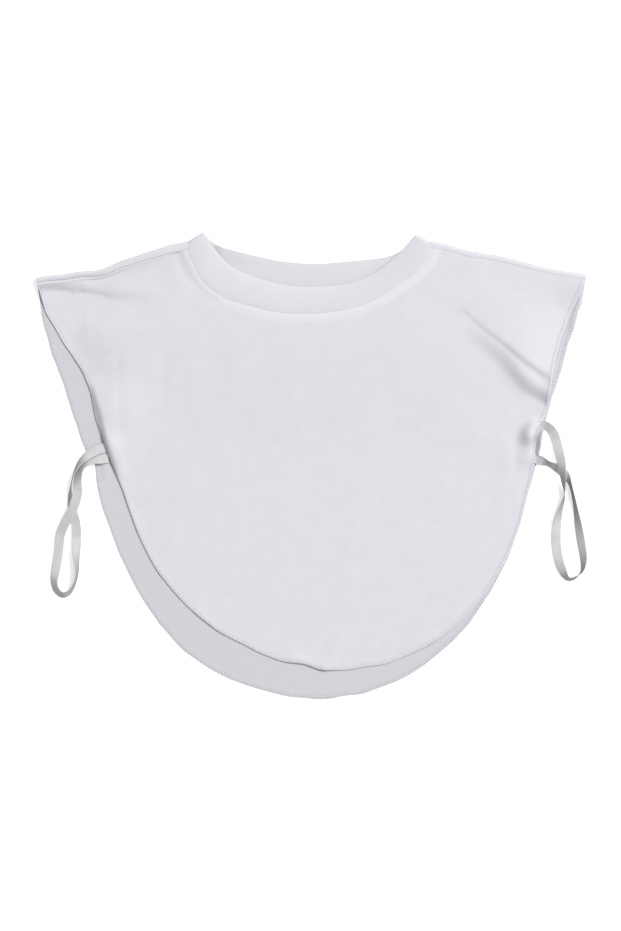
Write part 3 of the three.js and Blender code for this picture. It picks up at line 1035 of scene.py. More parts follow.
@dataclass
class Panel:
    """A jersey panel between the neckband and its side and hem edges.

    Attributes:
        name: the piece's name.
        node: the CAD node that it stands for.
        rows: its lines, from the left shoulder round the hem to the right shoulder.
        finish: its finish.
        slot: the record's material slot.
        flat: the cut's width and length, in metres; not used.
        area: the cut's area, in square metres; not used.
        nicks: places where its edge stands out or in, each with how far and how widely.
        folds: its soft ridges and creases.
        wall: how thick the cloth is.
        seam_gap: how far from the neck seam it begins.
        neck_rim: how far its rounded edge stands out at the neck.
        seam_dip: how far it is pressed down at the neck seam.
        dip_width: how wide that dip is.
        rim: how far its rounded edge stands out at side and hem.
        hem_height: how high the rolled hem stands.
        hem_width: how wide it is.
        allowance_height: how high the neck's seam allowance stands.
        allowance_width: how wide it is.
        stations: how many lines it has between the shoulders.
        inner_rows: how many even rows it has between its two edges' narrow ones.
        blend_lines: how many lines lead from a shoulder to its body.
        sway_share: how much of a shoulder's sway its first lines have.
        sway_fade: the share of the way round where that ends.
        near_neck: the narrow rows' distances from the neck.
        near_edge: the narrow rows' distances from the side or hem.
        waves: how its edge wanders.
    """

    name: str
    node: str
    rows: tuple[EdgeRow, ...]
    finish: ClothFinish
    slot: str
    flat: tuple[float, float]
    area: float
    nicks: tuple[tuple[Place, float, float], ...] = ()
    folds: tuple[Fold, ...] = ()
    wall: float = 0.7
    seam_gap: float = -0.05
    neck_rim: float = 0.08
    seam_dip: float = 0.04
    dip_width: float = 0.8
    rim: float = 0.32
    hem_height: float = 0.12
    hem_width: float = 3.4
    allowance_height: float = 0.14
    allowance_width: float = 6.8
    stations: int = 320
    inner_rows: int = 62
    blend_lines: int = 10
    sway_share: float = 0.8
    sway_fade: float = 0.14
    near_neck: tuple[float, ...] = (0.0, 0.06, 0.35, 0.8, 1.4, 2.1, 2.9, 3.7, 4.5, 5.3, 6.1, 7.0)
    near_edge: tuple[float, ...] = (5.0, 4.3, 3.6, 2.9, 2.2, 1.5, 0.9, 0.4, 0.0)
    waves: Unevenness = Unevenness(seed=41, count=18, height=0.09, shortest=7.0, longest=30.0)

    def distances(self, lengths: np.ndarray) -> np.ndarray:
        """How far from the neck each row is, by line.

        Args:
            lengths: each line's length.

        Returns:
            Distances by line and row.
        """
        first = self.near_neck[-1]
        last = lengths[:, None] - self.near_edge[0]
        shares = np.arange(1, self.inner_rows + 1) / (self.inner_rows + 1)
        inner = mix(first, last, shares[None, :])
        neck = np.tile(self.near_neck, (len(lengths), 1))
        edge = lengths[:, None] - np.array(self.near_edge)[None, :]
        return np.concatenate([neck, inner, edge], axis=1)

    def edge_waves(self, places: np.ndarray) -> np.ndarray:
        """How far the sewn edge wanders outwards.

        Args:
            places: places on the edge.

        Returns:
            The distance at each place.
        """
        reach = self.waves.lift(places[:, 0], places[:, 1])
        for place, size, width in self.nicks:
            reach = reach + size * np.exp(-((np.linalg.norm(places - place, axis=1) / width) ** 2))
        return reach

    def body_lines(self) -> Lines:
        """The flat lines between the shoulders.

        Returns:
            The lines, from left to right round the hem.
        """
        shares = np.linspace(0.0, 1.0, self.stations)
        start = Curve(np.array([row.neck for row in self.rows])).at(shares)
        end = Curve(np.array([row.edge for row in self.rows])).at(shares)
        heading = unit(end - start)
        start = start + heading * self.seam_gap
        end = end + heading * (self.edge_waves(end) - self.rim)[:, None]
        lengths = np.linalg.norm(end - start, axis=1)
        from_neck = self.distances(lengths)
        places = start[:, None] + heading[:, None] * from_neck[..., None]
        along = from_neck / lengths[:, None]
        for shoulder, from_shoulder in ((LEFT_SHOULDER, shares), (RIGHT_SHOULDER, 1.0 - shares)):
            nearness = self.sway_share * np.clip(1.0 - from_shoulder / self.sway_fade, 0.0, 1.0) ** 2
            sway = nearness[:, None] * shoulder.sway_at(along)
            places = places - shoulder.forward * sway[..., None]
        return Lines(places, from_neck, lengths[:, None] - from_neck)

    def shoulder_shares(self, shoulder: Shoulder) -> np.ndarray:
        """Each row's share of the way from the neckband to the shoulder tip."""
        return self.distances(np.array([shoulder.length]))[0] / shoulder.length

    def shoulder_line(self, shoulder: Shoulder, forward: np.ndarray | float) -> Lines:
        """One flat line along a shoulder.

        Args:
            shoulder: the shoulder.
            forward: how far forward of its fold edge the line is.

        Returns:
            The line.
        """
        length = shoulder.length
        from_neck = self.distances(np.array([length]))
        towards_band = shoulder.band_reach * np.exp(-from_neck / self.allowance_width)
        reached = (from_neck / length - towards_band / length)[0]
        places = shoulder.line(reached, forward + np.zeros(len(reached)))
        return Lines(places[None], from_neck, length - from_neck)

    def walled(self, lines: Lines, inside: Face, doubled: np.ndarray | None = None) -> ClothGrid:
        """The cloth along the lines, with its hem and its seam allowance raised.

        Args:
            lines: the lines, at their heights.
            inside: which face is the inside of the garment.
            doubled: how far it has the neck's seam allowance beneath it.

        Returns:
            The grid.
        """
        half = np.full(lines.from_neck.shape, self.wall / 2.0)
        ridge = self.allowance_height * bell(lines.from_neck, self.allowance_width)
        dip = self.seam_dip * np.exp(-((lines.from_neck / self.dip_width) ** 2))
        trim = ridge - dip + self.hem_height * bell(lines.from_edge, self.hem_width)
        trim[[0, -1]] -= self.seam_dip
        return ClothGrid(
            middle=lines.points,
            upper=half + trim,
            lower=half,
            knit=lines.points[..., :2],
            rims=(self.neck_rim, self.rim),
            inside=inside,
            doubled=doubled,
        )

    def build(self, maker: MeshMaker) -> bpy.types.Object:
        """Makes and dresses the piece.

        Args:
            maker: makes the mesh.

        Returns:
            The piece.
        """
        self.grid = self.cloth()
        piece = maker.from_grid(self.name, self.grid)
        dress(piece, self.finish, self.node)
        return piece

    def cloth(self) -> ClothGrid:
        """The panel's cloth grid."""
        raise NotImplementedError


@dataclass
class FrontPanel(Panel):
    """The front panel, which lies on top.

    Attributes:
        blend_bias: above 1, how much closer together the blended lines are near the shoulder.
        shoulder_gap: how far forward of the shoulder seam it begins.
        doubled_fade: how far from the neck the seam allowance beneath it begins and stops to end.
        doubled_left: how much of the allowance shows on the left.
        doubled_sides: how far to the right that share ends and the whole begins.
        sag_share: how much of the layer's height is lost at its edge.
        sag_width: how far from the edge it sags.
        neck_hold: how far from the neck seam its folds are held down.
        fold_reach: the share of the blended lines where its folds come up.
        fall_reach: the share of them where a shoulder's fall ends.
        fall_gain: how much further than the shoulder's strip it falls.
        lay: the slight waves that it lies in.
    """

    blend_lines: int = 22
    blend_bias: float = 1.4
    shoulder_gap: float = -0.12
    doubled_fade: tuple[float, float] = (-0.9, 0.7)
    doubled_left: float = 0.5
    doubled_sides: tuple[float, float] = (-90.0, -35.0)
    sag_share: float = 0.92
    sag_width: float = 22.0
    neck_hold: float = 4.0
    fold_reach: float = 0.2
    fall_reach: float = 0.12
    fall_gain: float = 1.3
    lay: Unevenness = Unevenness(seed=7)

    def height(self, lines: Lines, shares: np.ndarray) -> np.ndarray:
        """The height of the middle of the cloth.

        Args:
            lines: its flat lines.
            shares: each line's share of the way from a shoulder seam to the body.

        Returns:
            The height at each point.
        """
        x, y = lines.points[..., 0], lines.points[..., 1]
        reach = RIGHT_SHOULDER.tip[0] - RIGHT_SHOULDER.neck[0]
        high = HEIGHTS.back + HEIGHTS.rise((np.abs(x) - RIGHT_SHOULDER.neck[0]) / reach)
        sag = self.sag_share * np.exp(-((lines.from_edge / self.sag_width) ** 2))
        sag = sag * ease(shares, 0.0, 1.0)[:, None]
        raised = ease(y, HEIGHTS.drop_foot, HEIGHTS.drop_top) * (1.0 - sag)
        free = mix(HEIGHTS.rest, high, raised)
        lift = self.lay.lift(x, y)
        for fold in self.folds:
            lift = lift + fold.lift(x, y) * (1.0 - np.exp(-((lines.from_edge / fold.hold) ** 2)))
        lift = lift * ease(shares, 0.0, self.fold_reach)[:, None]
        held = np.exp(-((lines.from_neck / self.neck_hold) ** 2))
        above_rest = (free + lift * (1.0 - held) - HEIGHTS.rest) / HEIGHTS.settle
        return HEIGHTS.rest + HEIGHTS.settle * np.logaddexp(0.0, above_rest)

    def doubled(self, lines: Lines) -> np.ndarray:
        """How far the neck's seam allowance lies beneath the cloth, less tightly on the left.

        Args:
            lines: the panel's lines.

        Returns:
            The share at each point.
        """
        start, stop = self.allowance_width + np.array(self.doubled_fade)
        allowance = 1.0 - ease(lines.from_neck, start, stop)
        return allowance * mix(self.doubled_left, 1.0, ease(lines.points[..., 0], *self.doubled_sides))

    def cloth(self) -> ClothGrid:
        """The cloth grid: seam line, blended lines, body, blended lines and seam line.

        Returns:
            The grid.
        """
        body = self.body_lines()
        shares = np.linspace(0.0, 1.0, self.blend_lines + 1, endpoint=False) ** self.blend_bias
        fallen = self.fall_gain * (1.0 - ease(shares, 0.0, self.fall_reach))
        sides, falls = [], []
        for shoulder, nearby in ((LEFT_SHOULDER, body), (RIGHT_SHOULDER, body.turned())):
            along = self.shoulder_shares(shoulder)
            seam = self.shoulder_line(shoulder, shoulder.seam_at(along) + self.shoulder_gap)
            sides.append(seam.lead(nearby, shares))
            falls.append(np.outer(fallen, shoulder.fall_at(along)))
        flat = Lines.joined([sides[0], body, sides[1].turned()])
        fall = np.concatenate([falls[0], np.zeros(body.from_neck.shape), falls[1][::-1]])
        shares = np.concatenate([shares, np.ones(len(body.points)), shares[::-1]])
        height = self.height(flat, shares) - fall
        return self.walled(flat.raised(height), Face.LOWER, self.doubled(flat))


@dataclass
class BackPanel(Panel):
    """The back panel, which lies on the surface and comes over the shoulders to the front.

    Attributes:
        fold_steps: how many steps it takes round a shoulder's fold.
        strip_lines: how many lines lead from a shoulder's seam to that fold.
    """

    fold_steps: int = 14
    strip_lines: int = 4

    def over_shoulder(self, shoulder: Shoulder) -> Lines:
        """The lines from the seam on top, round the fold, to the back layer.

        Args:
            shoulder: the shoulder.

        Returns:
            The lines.
        """
        along = self.shoulder_shares(shoulder)
        rise = HEIGHTS.rise(along)
        parts = []
        for share in np.linspace(0.0, 1.0, self.strip_lines, endpoint=False):
            forward = mix(shoulder.seam_at(along), HEIGHTS.fold_depth, share)
            height = HEIGHTS.back + rise - (1.0 - share) * shoulder.fall_at(along)
            parts.append(self.shoulder_line(shoulder, forward).raised(height[None]))
        for turn in np.linspace(0.0, np.pi, self.fold_steps + 1):
            forward = HEIGHTS.fold_depth * (1.0 - math.sin(turn))
            height = HEIGHTS.back + rise * (1.0 + math.cos(turn)) / 2.0
            parts.append(self.shoulder_line(shoulder, forward).raised(height[None]))
        return Lines.joined(parts)

    def cloth(self) -> ClothGrid:
        """The cloth grid: left shoulder, blended lines, body, blended lines and right shoulder.

        Returns:
            The grid.
        """
        flat = self.body_lines()
        height = np.full(flat.from_neck.shape, HEIGHTS.back)
        for fold in self.folds:
            height = height + fold.lift(flat.points[..., 0], flat.points[..., 1])
        body = flat.raised(height)
        shares = np.linspace(0.0, 1.0, self.blend_lines + 2)[1:-1]
        sides = []
        for shoulder, nearby in ((LEFT_SHOULDER, body), (RIGHT_SHOULDER, body.turned())):
            over = self.over_shoulder(shoulder)
            sides.append(Lines.joined([over, over.lead(nearby, shares)]))
        return self.walled(Lines.joined([sides[0], body, sides[1].turned()]), Face.UPPER)


@dataclass
class HemThread:
    """Overlock stitches along a panel's side and hem edges.

    A stitch's points are rows of three: the panel's row, counted back from its edge, how far
    along the stitch the point is, as a share of the pitch, and its height above the cloth.

    Attributes:
        name: the piece's name.
        slot: the record's material slot; not used.
        finish: the thread's finish.
        seed: which small irregularities the stitches have.
        pitch: the distance from stitch to stitch.
        first: where the first stitch starts, as a share of the pitch.
        radius: the thread's radius.
        rim_reach: how far the loops stand out past the edge.
        wobble: how far a stitch strays along the edge.
        loop: the points of a loop on the cloth, from the needle line outwards.
        round_edge: the shares of the pitch where a loop goes round the edge and ends beneath.
        under_gap: how far below the cloth it ends.
        under_reach: how far out it ends, as a share of the edge's rounding.
        leg: the points of the thread that comes back to the needle line.
        dash: the points of a stitch of the needle line.
        needle: the panel's row under the needle line.
        tilt: how far its section is turned off the way up, so that it is never along it.
        lowest: the lowest that the thread lies.
    """

    name: str
    slot: str
    finish: ClothFinish
    seed: int
    pitch: float = 2.7
    first: float = 0.2
    radius: float = 0.13
    rim_reach: float = 0.12
    wobble: float = 0.22
    loop: tuple[StitchPoint, ...] = ((-6, 0.0, 0.02), (-5, 0.12, 0.12), (-4, 0.3, 0.14), (-2, 0.45, 0.14))
    round_edge: tuple[float, float] = (0.5, 0.56)
    under_gap: float = 0.05
    under_reach: float = 0.4
    leg: tuple[StitchPoint, ...] = ((-2, 0.5, 0.12), (-4, 0.72, 0.1), (-6, 0.95, 0.04))
    dash: tuple[StitchPoint, ...] = ((-6, 0.06, 0.0), (-6, 0.5, 0.13), (-6, 0.94, 0.0))
    needle: int = -6
    tilt: float = 0.001
    lowest: float = 0.2

    def build(self, panel: Panel, maker: MeshMaker) -> bpy.types.Object:
        """Makes and dresses the stitches.

        Args:
            panel: the panel that they are on.
            maker: makes the mesh.

        Returns:
            The piece.
        """
        grid = panel.grid
        normals = grid.normals()
        edge = grid.middle[:, -1]
        way = travelled(edge)
        count = int((way[-1] - self.pitch) / self.pitch)
        random = np.random.default_rng(self.seed)
        starts = self.pitch * (np.arange(count) + self.first)
        starts = starts + self.wobble * random.uniform(-1.0, 1.0, count)

        def sample(values: np.ndarray, share: float) -> np.ndarray:
            """Values along the edge, this share of a stitch after each stitch's start."""
            at = starts + share * self.pitch
            return np.stack([np.interp(at, way, column) for column in values.T], axis=-1)

        def above(points: tuple[StitchPoint, ...]) -> list[np.ndarray]:
            """Each stitch's points above the cloth.

            Args:
                points: rows of the panel's row, the share of the pitch and the height.

            Returns:
                One array for each row, with a place for each stitch.
            """
            places = []
            for row, share, height in points:
                top = grid.middle[:, row] + normals[:, row] * (grid.upper[:, row, None] + height)
                places.append(sample(top, share))
            return places

        out = unit(edge - grid.middle[:, -2])
        rim = edge + out * (grid.rims[1] + self.rim_reach)
        below = normals[:, -1] * (grid.lower[:, -1, None] + self.under_gap)
        under = edge - below + out * grid.rims[1] * self.under_reach
        ends = [sample(line, share) for line, share in zip((rim, under), self.round_edge)]
        kinds = (above(self.loop) + ends, above(self.leg), above(self.dash))
        routes = [np.stack(places, axis=1) for places in kinds]
        up = sample(normals[:, self.needle], self.round_edge[0])[:, None] + self.tilt
        for route in routes:
            route[..., 2] = np.maximum(route[..., 2], self.lowest)
        ups = [np.repeat(up, route.shape[1], axis=1) for route in routes]
        piece = maker.from_threads(self.name, routes, ups, self.radius)
        dress(piece, self.finish)
        return piece


def rounded(share: np.ndarray, edge_share: float, power: float) -> np.ndarray:
    """A thickness that is 1 in the middle and edge_share at both ends, flatter for a lower power."""
    return edge_share + (1.0 - edge_share) * np.sin(np.pi * share) ** power


def cloth_places(along: np.ndarray, across: np.ndarray) -> np.ndarray:
    """Each point's place on the cloth, from how far along and across it is."""
    return np.stack(np.broadcast_arrays(along[:, None], across[None]), axis=-1)


@dataclass(frozen=True)
class BandFold:
    """A place where the neckband is folded, at one side of the neck.

    Attributes:
        seam: the fold's end at the seam.
        corner: its end at the free edge.
        side: 1 on the left and -1 on the right.
    """

    seam: Place
    corner: Place
    side: int

    @property
    def outward(self) -> np.ndarray:
        """The way out of the band, as long as the fold bulges."""
        along = unit(np.array(self.corner) - np.array(self.seam))
        return np.array([-along[1], along[0]]) * self.side * HEIGHTS.fold_depth


@dataclass
class Neckband:
    """The doubled rib band, a closed ring that lies folded flat at each side of the neck.

    Attributes:
        name: the piece's name.
        node: the CAD node that it stands for.
        slot: the record's material slot; not used.
        wall: how thick it is in its middle.
        seam_rim: how far its rounded edge stands out at the seam.
        seam_dip: how far it is pressed down at the seam.
        dip_share: the share of its height where that dip ends.
        set_down: how far its front lies below the front panel's neck.
        edge_share: how thick it is at its edges, as a share.
        bulge_power: how fast it thickens from there, less than 1 for a flatter middle.
        edge_thinning: how much thinner still it is at the free edge, as a share.
        thinning_power: how close to the free edge that starts.
        sag: shares of the way round the front, each with how far the free edge sags there.
        sag_power: how the sag grows from the seam to the free edge.
        back_lift: the share of the sag by which the back's free edge lifts instead.
        back_folds: its small folds at the back.
        free_rim: how far its rounded free edge stands out.
        left: its fold on the left.
        right: its fold on the right.
        arc_stations: how many steps it takes along the front and along the back.
        fold_steps: how many it takes round a fold.
        rows: how many rows it has from the seam to the free edge.
        first_step: where its second row is, as a share of its height.
        flat: its length round and its height, in metres.
        front_edge: places along the front's free edge.
        back_edge: places along the back's free edge.
    """

    name: str = "band_cloth"
    node: str = "neckband"
    slot: str = "rib_knit"
    wall: float = 1.7
    seam_rim: float = 0.08
    seam_dip: float = 0.1
    dip_share: float = 0.15
    set_down: float = 0.45
    edge_share: float = 0.6
    bulge_power: float = 0.6
    edge_thinning: float = 0.3
    thinning_power: int = 6
    sag: tuple[Place, ...] = ((0.0, 0.0), (0.1, 1.2), (0.3, 1.6), (0.52, 2.0), (0.8, 1.5), (1.0, 0.0))
    sag_power: float = 1.8
    back_lift: float = 0.5
    back_folds: tuple[Fold, ...] = (Fold(((-67.0, 169.0), (-67.0, 152.0)), (3.2, 1.4), 28.0, 6.5),)
    free_rim: float = 0.75
    left: BandFold = BandFold((-94.5, 168.5), (-82.5, 176.2), 1)
    right: BandFold = BandFold((91.5, 168.0), (79.4, 175.0), -1)
    arc_stations: int = 240
    fold_steps: int = 18
    rows: int = 24
    first_step: float = 0.005
    flat: tuple[float, float] = (0.42, 0.0215)
    front_edge: tuple[Place, ...] = (
        (-74, 163.5), (-62, 151), (-41.5, 141.5), (-19.5, 136), (5, 135), (26, 137), (45, 143.5),
        (59.5, 154), (70.5, 164),
    )
    back_edge: tuple[Place, ...] = (
        (-70.5, 166), (-45, 159), (-20, 154), (5, 152.5), (31, 154.5), (56, 157.5), (71, 164),
    )

    @property
    def rise(self) -> float:
        """From the back of the band up to its front."""
        return HEIGHTS.neck_rise - self.set_down

    @property
    def across(self) -> np.ndarray:
        """Shares of the way from the seam to the free edge, with a narrow first step."""
        return np.concatenate([[0.0], np.linspace(self.first_step, 1.0, self.rows - 1)])

    def _arc(
        self,
        panel: Panel,
        free_edge: tuple[Place, ...],
        level: float,
        sag_share: float,
        folds: tuple[Fold, ...] = (),
    ) -> np.ndarray:
        """The stations of the front or the back of the band, from left to right.

        Args:
            panel: the panel whose neck seam the arc follows.
            free_edge: places along the free edge.
            level: the height of the middle of the cloth.
            sag_share: how much of the free edge's sag between the folds it has, below 0 for a lift.
            folds: its small folds.

        Returns:
            Points by station and row.
        """
        left, right = self.left, self.right
        necks = [row.neck for row in panel.rows]
        seam = [left.seam - left.outward, *necks, right.seam - right.outward]
        edge = [left.corner - left.outward, *free_edge, right.corner - right.outward]
        shares = np.linspace(0.0, 1.0, self.arc_stations + 1)[1:-1]
        seam_points = Curve(np.array(seam)).evenly(shares)
        edge_points = Curve(np.array(edge)).evenly(shares)
        points = self._stack(seam_points, edge_points, np.full(len(shares), level))
        points[..., 2] -= sag_share * eased(self.sag, shares)[:, None] * self.across[None] ** self.sag_power
        for fold in folds:
            points[..., 2] += fold.lift(points[..., 0], points[..., 1]) * self.across[None]
        return points

    def _stack(self, seam: np.ndarray, edge: np.ndarray, levels: np.ndarray) -> np.ndarray:
        """Points between two edges.

        Args:
            seam: places along the seam.
            edge: places along the free edge.
            levels: each station's height.

        Returns:
            Points by station and row.
        """
        flat = mix(seam[:, None], edge[:, None], self.across[None, :, None])
        height = np.repeat(levels[:, None], self.rows, axis=1)
        return np.concatenate([flat, height[..., None]], axis=-1)

    def _round(self, fold: BandFold, turns: np.ndarray) -> np.ndarray:
        """The stations round one fold.

        Args:
            fold: the fold.
            turns: angles round it, 0 on top.

        Returns:
            Points by station and row.
        """
        shift = fold.outward * (np.sin(turns) - 1.0)[:, None]
        levels = self.wall / 2.0 + self.rise * (1.0 + np.cos(turns)) / 2.0
        return self._stack(fold.seam + shift, fold.corner + shift, levels)

    def build(self, front: Panel, back: Panel, maker: MeshMaker) -> bpy.types.Object:
        """Makes and dresses the piece.

        Args:
            front: the front panel, for its neck seam.
            back: the back panel, for its neck seam.
            maker: makes the mesh.

        Returns:
            The piece.
        """
        down = np.linspace(0.0, np.pi, self.fold_steps + 1)
        level = self.wall / 2.0
        middle = np.concatenate(
            [
                self._arc(front, self.front_edge, level + self.rise, 1.0),
                self._round(self.right, down),
                self._arc(back, self.back_edge, level, -self.back_lift, self.back_folds)[::-1],
                self._round(self.left, down[::-1]),
            ]
        )
        across = self.across
        thinning = self.edge_thinning * across**self.thinning_power
        crown = self.wall / 2.0 * (rounded(across, self.edge_share, self.bulge_power) - thinning)
        crown = crown - self.seam_dip * np.exp(-across / self.dip_share)
        half = np.repeat(crown[None], len(middle), axis=0)
        along = np.linalg.norm(np.roll(middle, -1, axis=0) - middle, axis=-1)[:, self.rows // 2].cumsum()
        grid = ClothGrid(
            middle=middle,
            upper=half,
            lower=half,
            knit=cloth_places(along, across * self.flat[1] / MM),
            rims=(self.seam_rim, self.free_rim),
            inside=Face.UPPER,
            is_ring=True,
        )
        piece = maker.from_grid(self.name, grid)
        dress(piece, BAND_RIB, self.node)
        return piece


@dataclass
class ElasticLoop:
    """A loop of flat elastic that is sewn to the panels at both ends and lies beside them.

    Attributes:
        name: the piece's name.
        node: the CAD node that it stands for.
        length: the tape's length, in metres; not used.
        rows: places along its middle, each with the height that it lies on and its roll.
        slot: the record's material slot; not used.
        width: how wide the tape is.
        wall: how thick it is.
        stations: how many steps it takes along its way.
        across: how many rows it has.
        cords: how many raised cords run along it.
        cord_height: how high they stand.
        edge_share: how thick it is at its edges, as a share.
        bulge_power: how fast it thickens from there, less than 1 for a flatter middle.
        rim: how far its rounded edges stand out.
    """

    name: str
    node: str
    length: float
    rows: tuple[tuple[float, float, float, float], ...]
    slot: str = "elastic_tape"
    width: float = 7.0
    wall: float = 0.9
    stations: int = 300
    across: int = 27
    cords: int = 8
    cord_height: float = 0.06
    edge_share: float = 0.7
    bulge_power: float = 0.5
    rim: float = 0.15

    def centre_heights(self, rise: np.ndarray, roll: np.ndarray) -> np.ndarray:
        """The height of the tape's middle, from the height it lies on and its roll."""
        turned = np.radians(roll)
        return rise + (self.width * np.abs(np.sin(turned)) + self.wall * np.abs(np.cos(turned))) / 2.0

    def build(self, maker: MeshMaker) -> bpy.types.Object:
        """Args:
            maker: makes the mesh.

        Returns:
            The piece.
        """
        table = np.array(self.rows)
        shares = np.linspace(0.0, 1.0, self.stations)
        route = Curve(table[:, :2]).at(shares)
        rise, roll = Curve(table[:, 2:]).at(shares).T
        heading = unit(np.gradient(route, axis=0))
        turned = np.radians(roll)[:, None]
        sideways = np.concatenate(
            [np.column_stack([-heading[:, 1], heading[:, 0]]) * np.cos(turned), np.sin(turned)], axis=1
        )
        centre = np.column_stack([route, self.centre_heights(rise, roll)])
        offsets = self.width * np.linspace(-0.5, 0.5, self.across)
        middle = centre[:, None] + sideways[:, None] * offsets[None, :, None]
        share = np.linspace(0.0, 1.0, self.across)
        ribs = self.cord_height * np.cos(2.0 * np.pi * self.cords * share)
        thickness = self.wall / 2.0 * rounded(share, self.edge_share, self.bulge_power)
        half = np.repeat((thickness - self.cord_height + ribs)[None], self.stations, axis=0)
        knit = cloth_places(travelled(centre), offsets)
        grid = ClothGrid(middle=middle, upper=half, lower=half, knit=knit, rims=(self.rim, self.rim))
        piece = maker.from_grid(self.name, grid)
        dress(piece, LOOP_TAPE, self.node)
        return piece


@dataclass
class PhotoCamera:
    """A long lens that looks straight down, as the photograph does.

    Attributes:
        lens: focal length in millimetres.
        sensor: the sensor's long side.
        pixels_high: the photograph's height.
        pixel: what one pixel of the photograph measures on the garment.
        centre: the place in the middle of the photograph.
        aim_height: the height at which a pixel has that measure.
        sight: how far it sees, in metres.
    """

    lens: float = 200.0
    sensor: float = 36.0
    pixels_high: int = 931
    pixel: float = 0.76
    centre: Place = (-0.76, -0.38)
    aim_height: float = 3.0
    sight: float = 50.0

    def build(self) -> None:
        """Makes the camera and the scene's camera of it."""
        data = bpy.data.cameras.new("camera")
        data.lens = self.lens
        data.sensor_width = self.sensor
        data.clip_end = self.sight
        data.dof.use_dof = False
        camera = bpy.data.objects.new("camera", data)
        distance = self.pixels_high * self.pixel * self.lens / self.sensor + self.aim_height
        camera.location = Vector((*self.centre, distance)) * MM
        bpy.context.scene.collection.objects.link(camera)
        bpy.context.scene.camera = camera


@dataclass
class Studio:
    """Plain soft light and a plain pale floor.

    Attributes:
        key_power: the main light's power in watts.
        key_size: its side in metres.
        key_distance: its distance in metres.
        key_azimuth: the way that it comes from, in degrees from +X.
        key_elevation: its angle above the floor, in degrees.
        surround: the strength of the even light from all round.
        backdrop: the brightness of the white behind the scene.
        floor_tone: the floor's colour.
        floor_roughness: how matt it is.
        floor_gloss: how strongly it mirrors light.
        floor_glow: how much the floor is lit from below, as on a light table.
        floor_size: the floor's side in metres.
        floor_level: the floor's height in metres.
    """

    key_power: float = 650.0
    key_size: float = 3.0
    key_distance: float = 9.0
    key_azimuth: float = 38.0
    key_elevation: float = 52.0
    surround: float = 0.36
    backdrop: float = 1.0
    floor_tone: Colour = (0.9, 0.9, 0.9)
    floor_roughness: float = 0.9
    floor_gloss: float = 0.1
    floor_glow: float = 0.5
    floor_size: float = 24.0
    floor_level: float = -0.0003

    def build_key(self) -> None:
        """Makes the main light."""
        data = bpy.data.lights.new("key", "AREA")
        data.energy = self.key_power
        data.size = self.key_size
        light = bpy.data.objects.new("key", data)
        azimuth, elevation = math.radians(self.key_azimuth), math.radians(self.key_elevation)
        way = Vector((math.cos(azimuth), math.sin(azimuth), math.tan(elevation))).normalized()
        light.location = way * self.key_distance
        light.rotation_euler = way.to_track_quat("Z", "Y").to_euler()
        bpy.context.scene.collection.objects.link(light)

    def build_surround(self) -> None:
        """Makes the even light from all round, with a white backdrop behind the scene."""
        world = bpy.data.worlds.new("surround")
        world.use_nodes = True
        board = NodeBoard(world.node_tree)
        seen = board.add("ShaderNodeLightPath").outputs["Is Camera Ray"]
        light = board.add("ShaderNodeBackground", Color=WHITE, Strength=self.surround)
        backdrop = board.add("ShaderNodeBackground", Color=WHITE, Strength=self.backdrop)
        choice = board.add("ShaderNodeMixShader")
        board.join(seen, choice.inputs[0])
        board.join(light.outputs[0], choice.inputs[1])
        board.join(backdrop.outputs[0], choice.inputs[2])
        board.join(choice.outputs[0], board.add("ShaderNodeOutputWorld").inputs["Surface"])
        bpy.context.scene.world = world

    def build_floor(self) -> None:
        """Makes the floor."""
        half = self.floor_size / 2.0
        corners = [(-half, -half), (half, -half), (half, half), (-half, half)]
        mesh = bpy.data.meshes.new("floor")
        mesh.from_pydata([(x, y, self.floor_level) for x, y in corners], [], [(0, 1, 2, 3)])
        material = bpy.data.materials.new("floor")
        material.use_nodes = True
        board = NodeBoard(material.node_tree)
        shader = board.add(
            "ShaderNodeBsdfPrincipled",
            Base_Color=(*self.floor_tone, 1.0),
            Roughness=self.floor_roughness,
            Specular_IOR_Level=self.floor_gloss,
            Emission_Color=WHITE,
            Emission_Strength=self.floor_glow,
        )
        board.join(shader.outputs["BSDF"], board.add("ShaderNodeOutputMaterial").inputs["Surface"])
        mesh.materials.append(material)
        floor = bpy.data.objects.new("floor", mesh)
        bpy.context.scene.collection.objects.link(floor)

    def build(self) -> None:
        """Makes the lights and the floor, and shows tones as they are."""
        bpy.context.scene.view_settings.view_transform = "Standard"
        self.build_key()
        self.build_surround()
        self.build_floor()


def edge_rows(table: tuple[tuple[float, float, float, float], ...]) -> tuple[EdgeRow, ...]:
    """A panel's lines from a table of neck and edge places."""
    return tuple(EdgeRow((neck_x, neck_y), (edge_x, edge_y)) for neck_x, neck_y, edge_x, edge_y in table)


# The panels' lines, each as its x and y at the neckband and its x and y at the edge.
FRONT_ROWS = edge_rows((
    (-93, 159, -202, 117), (-90, 153.5, -188, 92.5), (-87.2, 147.2, -171.2, 65.8),
    (-83.8, 141.6, -165, 39.5), (-79.4, 136.6, -156.8, 14), (-72.4, 130.8, -145.2, -16.4),
    (-62, 125.4, -126.4, -64.4), (-46.5, 121, -103.1, -98.4), (-31.5, 117, -72.3, -125.2),
    (-15.5, 115, -29.5, -147), (-6, 114.9, -6.5, -151.6), (3.5, 115, 15.4, -156.4),
    (23, 117.5, 58.5, -150.2), (38.5, 121.5, 97.6, -132), (53, 128, 128.5, -102.2),
    (65, 136, 151, -65.4), (73.5, 141.5, 164, -23), (77.5, 144.5, 170, 5), (80.5, 147.5, 171, 23.5),
    (84, 151, 179.6, 43), (88, 156, 185.5, 78.5), (90, 160.5, 196.5, 113),
))
